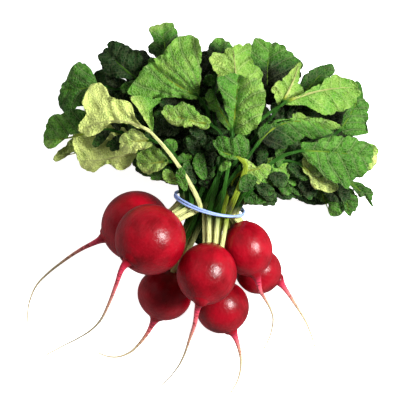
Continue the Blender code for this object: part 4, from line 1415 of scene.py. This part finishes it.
def leaf_piece(name, row, entry, slot_point, crown, crown_way):
    """One finished leaf, from its entry in the table and its places in the band and at the crown."""
    leaf, own_look, corners = entry
    look = {**PLAIN, **own_look}
    shape = bmesh.new()
    layers = {
        "blade": shape.verts.layers.float_vector.new("blade"),
        "growth": shape.verts.layers.float_vector.new("growth"),
        "vein": shape.verts.layers.float.new("vein"),
    }
    midrib = add_blade(shape, layers, name, leaf, look, corners, packed_surface(name, leaf))
    tree = packed_tree(name)
    line = stalk_line(leaf, slot_point, crown - crown_way * BURIED, crown_way)
    for point in line[STALK_STEPS:]:
        point.z = middle_height(tree, point.x, point.y, point.z)
    lying = along_chord(line, STALK_STEPS, look["straight"])
    rib = midrib + np.array([0, 0, RIB_RISE if look["under"] > 0.5 else RIB_SINK])
    stalk_way, _ = smooth_way([*lying[:-1], *rib[:1]], STATION_SPACING)
    way = np.vstack([stalk_way[:-1], rib])
    add_rod(shape, layers, way, *stalk_marks(way, len(stalk_way) - 1, look))
    beyond = stalk_way[len(stalk_way) // 2 :]
    add_to_map(beyond[:, :2], beyond[:, 2] + STALK_THICKNESS / 2)
    for n, (lobe, tones, lobe_corners) in enumerate(look["lobes"]):
        mine = {**look, "tones": tones, "fold": 1.0, "fan": False}
        add_blade(shape, layers, f"{name}_lobe{n}", lobe, mine, lobe_corners, sloping(lobe), scale=0.6)
    if look["leaflets"]:
        add_leaflets(shape, layers, name, row, stalk_way, look)
    bmesh.ops.recalc_face_normals(shape, faces=shape.faces)
    piece = as_piece(name.replace("leaf", "tissue"), shape, tissue)
    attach(piece, "root")
    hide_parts(name)
    return piece


print("a midrib stands", RIB_RISE, "mm out of an underside")

# %% [markdown]
# The leaves are laid row by row from the bottom of the bundle. Within a row, the places in the band
# go to the leaves from left to right, by the side towards which each one lies.

# %% Laying the whole bunch
slots = bundle_slots()
offsets = crown_offsets(slots)
numbers = dict.fromkeys(RADISHES, 0)
for row in reversed(range(len(LEAVES))):
    bases = [entry[0][0] for entry in LEAVES[row]]
    turns = [math.atan2(base[1] - BAND_CENTRE.y, base[0] - BAND_CENTRE.x) for base in bases]
    by_side = sorted(range(len(turns)), key=lambda k: -turns[k])
    jobs = []
    for k, entry in enumerate(LEAVES[row]):
        place = by_side.index(k)
        letter, across, up = slots[row][place]
        numbers[letter] += 1
        slot_point = BAND_CENTRE + BAND_ACROSS * across + band_up * up
        crown, crown_way = crown_point(letter, offsets[(row, place)])
        jobs.append((f"leaf_{letter}{numbers[letter]}", row, entry, slot_point, crown, crown_way))
    for job in sorted(jobs, key=lambda job: job[2][1].get("late", False)):
        made = leaf_piece(*job)
        print(made.name, len(made.data.polygons), "faces")

# %% [markdown]
# ## Rubber band
# Bunches are tied with a thin natural-rubber band, extruded as a tube, dyed blue and cut to rings.
# Rubber is dull, with a soft broad shine, and the talc from its making leaves it paler in places.

# %% Dyed rubber
TALC_PER_M = 900.0


def dyed_rubber():
    finish, tree, shader = new_finish("dyed_rubber")
    place = add_node(tree, "TexCoord").outputs["Object"]
    dust = add_node(tree, "TexNoise", {"Vector": place, "Scale": TALC_PER_M, "Detail": 3.0})
    colour = add_node(
        tree, "Mix",
        {FACTOR: dust.outputs[0], COLOUR_A: linear("#5f80bf"), COLOUR_B: linear("#a9bcec")},
        data_type="RGBA",
    )
    tree.links.new(colour.outputs[MIXED], shader.inputs["Base Color"])
    relief = add_node(tree, "Bump", {"Height": dust.outputs[0], "Strength": 0.3, "Distance": 0.1 * MM})
    tree.links.new(relief.outputs[0], shader.inputs["Normal"])
    shader.inputs["Roughness"].default_value = 0.45
    return finish


rubber = dyed_rubber()
print("finish:", rubber.name)

# %% [markdown]
# The band is wound round the stalks twice, and its two strands cross on the way. For each strand a
# small ring is spun round a circle, and the circle is then stretched to the bundle's ellipse.

# %% Rubber band
STRAND_RADIUS = 0.62
STRAND_SIDES = 10
STRAND_APART = 0.75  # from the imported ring's middle to each strand's
CROSSING = 0.6  # radians by which the two crossings are turned round the bundle
CROSSING_LIFT = 0.5
BAND_STATIONS = 96


def on_bundle(x, y, z, strand):
    """Where a point of the spun circle comes to lie on the bundle."""
    turn = math.atan2(y, x)
    out = math.hypot(x, y) - BAND_HALF_WIDTH
    cos, sin = math.cos(turn), math.sin(turn)
    middle = BAND_ACROSS * (BAND_HALF_WIDTH * cos) + band_up * (BAND_HALF_HEIGHT * sin)
    outward = BAND_ACROSS * (BAND_HALF_HEIGHT * cos) + band_up * (BAND_HALF_WIDTH * sin)
    wobble = STRAND_APART * strand * math.cos(turn + CROSSING) + 0.15 * math.sin(3 * turn)
    lift = CROSSING_LIFT * max(0.0, 1 - abs(math.cos(turn + CROSSING)) * 3) * strand
    return BAND_CENTRE + middle + outward.normalized() * (out + lift) + band_along * (z + wobble)


shape = bmesh.new()
for strand in (-1, 1):
    ring = bmesh.ops.create_circle(shape, segments=STRAND_SIDES, radius=STRAND_RADIUS)["verts"]
    loop_edges = list({e for v in ring for e in v.link_edges})
    for vertex in ring:
        x, y, _ = vertex.co
        vertex.co = (BAND_HALF_WIDTH + x, 0, y)
    bmesh.ops.spin(
        shape, geom=ring + loop_edges, cent=(0, 0, 0), axis=(0, 0, 1), dvec=(0, 0, 0),
        angle=2 * math.pi, steps=BAND_STATIONS, use_merge=True,
    )
    for vertex in [v for v in shape.verts if not v.tag]:
        vertex.tag = True
        vertex.co = on_bundle(*vertex.co, strand) * MM
bmesh.ops.remove_doubles(shape, verts=shape.verts, dist=1e-6)
bmesh.ops.recalc_face_normals(shape, faces=shape.faces)
band = as_piece("blue_band", shape, rubber)
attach(band, "root")
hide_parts("rubber_band")
print(band.name, len(band.data.polygons), "faces")
